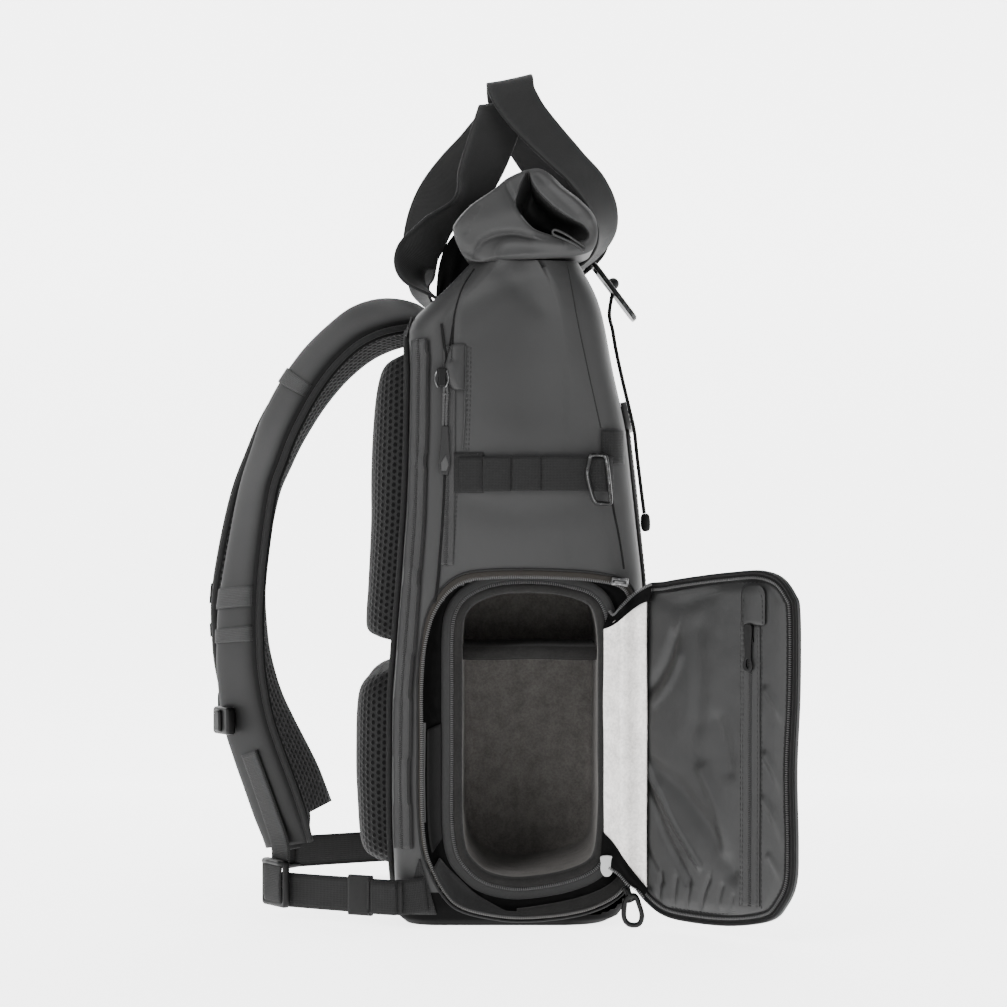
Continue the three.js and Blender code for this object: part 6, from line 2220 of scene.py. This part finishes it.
rows, uv = [], []
for z in np.linspace(328.6 * mm, 352.4 * mm, 12):
    row = []
    for share in np.linspace(0, 1, 16):
        x = 64.6 * mm + share * 15.6 * mm
        base = on_bag(x, z, 0.0)[0]
        row.append(
            base + unit(np.array([0.5, -1.0, 0])) * (1.1 + 3.0 * math.sin(math.pi * share) ** 0.7) * mm
        )
    rows.append(row)
    uv.append([(z, k * 1.2 * mm) for k in range(16)])
front_loop = thicken(grid_piece("front_loop", rows, "fine_webbing", uv), 1.7 * mm)
settle(front_loop, "webbing", "front_loop")
seam_rows = [(72.6, 303), (74.4, 292), (76.6, 281.7), (79.3, 266), (81.0, 254)]
crease_rows = [(41.1, 471), (44.4, 452), (48.1, 430.5), (55.2, 396.5), (60.2, 373.8), (64.6, 354)]
seams = [
    seam("front_seam", smooth_rows(seam_rows, 6) * mm, -0.1 * mm, 0.9 * mm, "black_tape", 6),
    seam("front_crease", smooth_rows(crease_rows, 6) * mm, -0.15 * mm, 0.55 * mm, "binding", 6),
]
settle(join("front_seams", seams), "coated_fabric")
print("side details built")

# %% [markdown]
# ## The front
#
# The photo doesn't show the front, so the pocket is a plain stitched panel under a storm flap.

# %% Front pocket and storm flap
pocket_half, pocket_bottom, pocket_high = 0.375 * bag_width, 0.07 * bag_height, 0.745 * bag_height


def front_patch(name, line, lift, thickness, spacing, seam_inset, seam_lift):
    """A stitched patch on the front within a closed line of (y, z)."""
    cloth = filled(name, line, spacing, "coated", lambda y, z: on_front(y, z, lift)[0])
    places, out = laid(offset_line(line, -seam_inset), seam_lift, on_front, 1, closed=True)
    patch = join(
        name, [thicken(cloth, thickness), stitches("patch_stitches", places, out, closed=True)]
    )
    settle(patch, "coated_fabric", name)


outline = rounded_line(
    -pocket_half, pocket_bottom, pocket_half, pocket_high, [22 * mm, 22 * mm, 8 * mm, 8 * mm], 6
)
front_patch("front_pocket", outline, 1.5 * mm, 2.2 * mm, 4 * mm, 4 * mm, 2.7 * mm)
outline = rounded_line(
    -pocket_half, pocket_high + 0.4 * mm, pocket_half, pocket_high + 20 * mm, [5 * mm] * 4, 5
)
front_patch("storm_flap", outline, 2.4 * mm, 4.0 * mm, 3 * mm, 3 * mm, 4.5 * mm)
print("front patches: 2")

# %% [markdown]
# A strap from the roll holds a metal plate. A cord with a bead hangs from it: its route is a list of
# points, the same ones as the fixed tube's.

# %% Front closure and cord
strap_line = smooth_rows(
    [(41.5, 492.2), (47, 492.4), (52.2, 491.2), (57, 488.6), (60.6, 486.2), (63.4, 483.4)], 6
) * mm
strap_places = np.array([(x, 0, z) for x, z in strap_line])
hook_strap = webbing_band("hook_strap", strap_places, same([0, 1.0, 0], strap_places))
settle(hook_strap, "webbing", "hook_strap")

lean = math.radians(37)
hook_run = np.array([math.sin(lean), 0, -math.cos(lean)])
hook_top = np.array([63 * mm, 0, 482.976 * mm])
hook_middle = hook_top + hook_run * 27 * mm
outline = rounded_line(-16 * mm, -27 * mm, 16 * mm, 27 * mm, [7 * mm, 7 * mm, 4 * mm, 4 * mm], 6)
slot = rounded_line(-13 * mm, 19.5 * mm, 13 * mm, 23.5 * mm, [1.6 * mm] * 4, 4)[::-1]
cord_hole = rounded_line(-3 * mm, 1.4 * mm, 3 * mm, 10 * mm, [2.8 * mm] * 4, 4)[::-1]
plate_parts = [
    plate(
        "hook_plate", [outline, slot, cord_hole], 3.2 * mm, 0.9 * mm, "metal", hook_middle, (0, 1, 0),
        -hook_run, 3,
    )
]
hook_out = np.array([math.cos(lean), 0, math.sin(lean)])
# The thin steel ring just inside the plate's edge is a painted highlight on its rim.
rim_places = [
    hook_middle + np.array([0, a, 0]) - hook_run * b + hook_out * 1.5 * mm
    for a, b in offset_line(outline, -1.6 * mm)
]
plate_parts.append(tube("hook_rim_painted_highlight", rim_places, 0.7 * mm, "steel", 6, closed=True))
settle(join("hook_plate", plate_parts), "dark_metal", "hook_plate")

cord_points = [
    (78.9, 463.0), (76.0, 445.2), (78.5, 432.4), (80.8, 418.8), (84.0, 403.5), (87.5, 388.2),
    (91.6, 371.2), (95.0, 355.9), (96.7, 340.6), (98.5, 325.3), (100.6, 308.3), (102.6, 293.0),
]
cord_path = smooth_rows([(x, 0, z) for x, z in cord_points], 6) * mm
cord = tube("front_cord", cord_path, 1.45 * mm, "cord", 10)
settle(cord, "webbing", "front_cord")
bead_profile = [(0.9 * mm, 4.5 * mm)] + [
    (4.6 * mm * math.sin(a), 4.6 * mm * math.cos(a)) for a in np.linspace(0.25, math.pi - 0.25, 13)
] + [(0.9 * mm, -4.5 * mm)]
bead = lathe("cord_bead", bead_profile, "plastic", (78.9 * mm, 0, 467.9 * mm), (0, 0, 1), 20)
settle(bead, "hard_plastic", "cord_bead")
end_profile = [
    (1.6, 0.2), (2.8, -0.6), (3.5, -2.4), (3.75, -5), (3.7, -9), (3.3, -11.8), (2.2, -13.2),
    (0.6, -13.6),
]
cord_end = lathe(
    "cord_end", [(r * mm, h * mm) for r, h in end_profile], "cord", (103.2 * mm, 0, 292.7 * mm),
    (-0.05, 0, 1), 14,
)
settle(cord_end, "hard_plastic", "cord_end")
print("front built")

# %% [markdown]
# ## The floor and the end
#
# The floor is a plain pale sheet, and the backdrop is its far end, bent up. Neither is part of the
# object.

# %% Floor and finish
stage_line = smooth_rows(
    [
        (-3.0, 0.0), (-1.0, 0.0), (0.6, 0.0), (1.1, 0.0), (1.5, 0.12), (1.75, 0.45), (1.8, 0.9),
        (1.8, 2.2),
    ],
    12,
)
stage_grid = [[(x, y, z - 0.0002) for x in np.linspace(-3, 3, 3)] for y, z in stage_line]
floor = grid_piece("floor", stage_grid, "floor", flip=True)
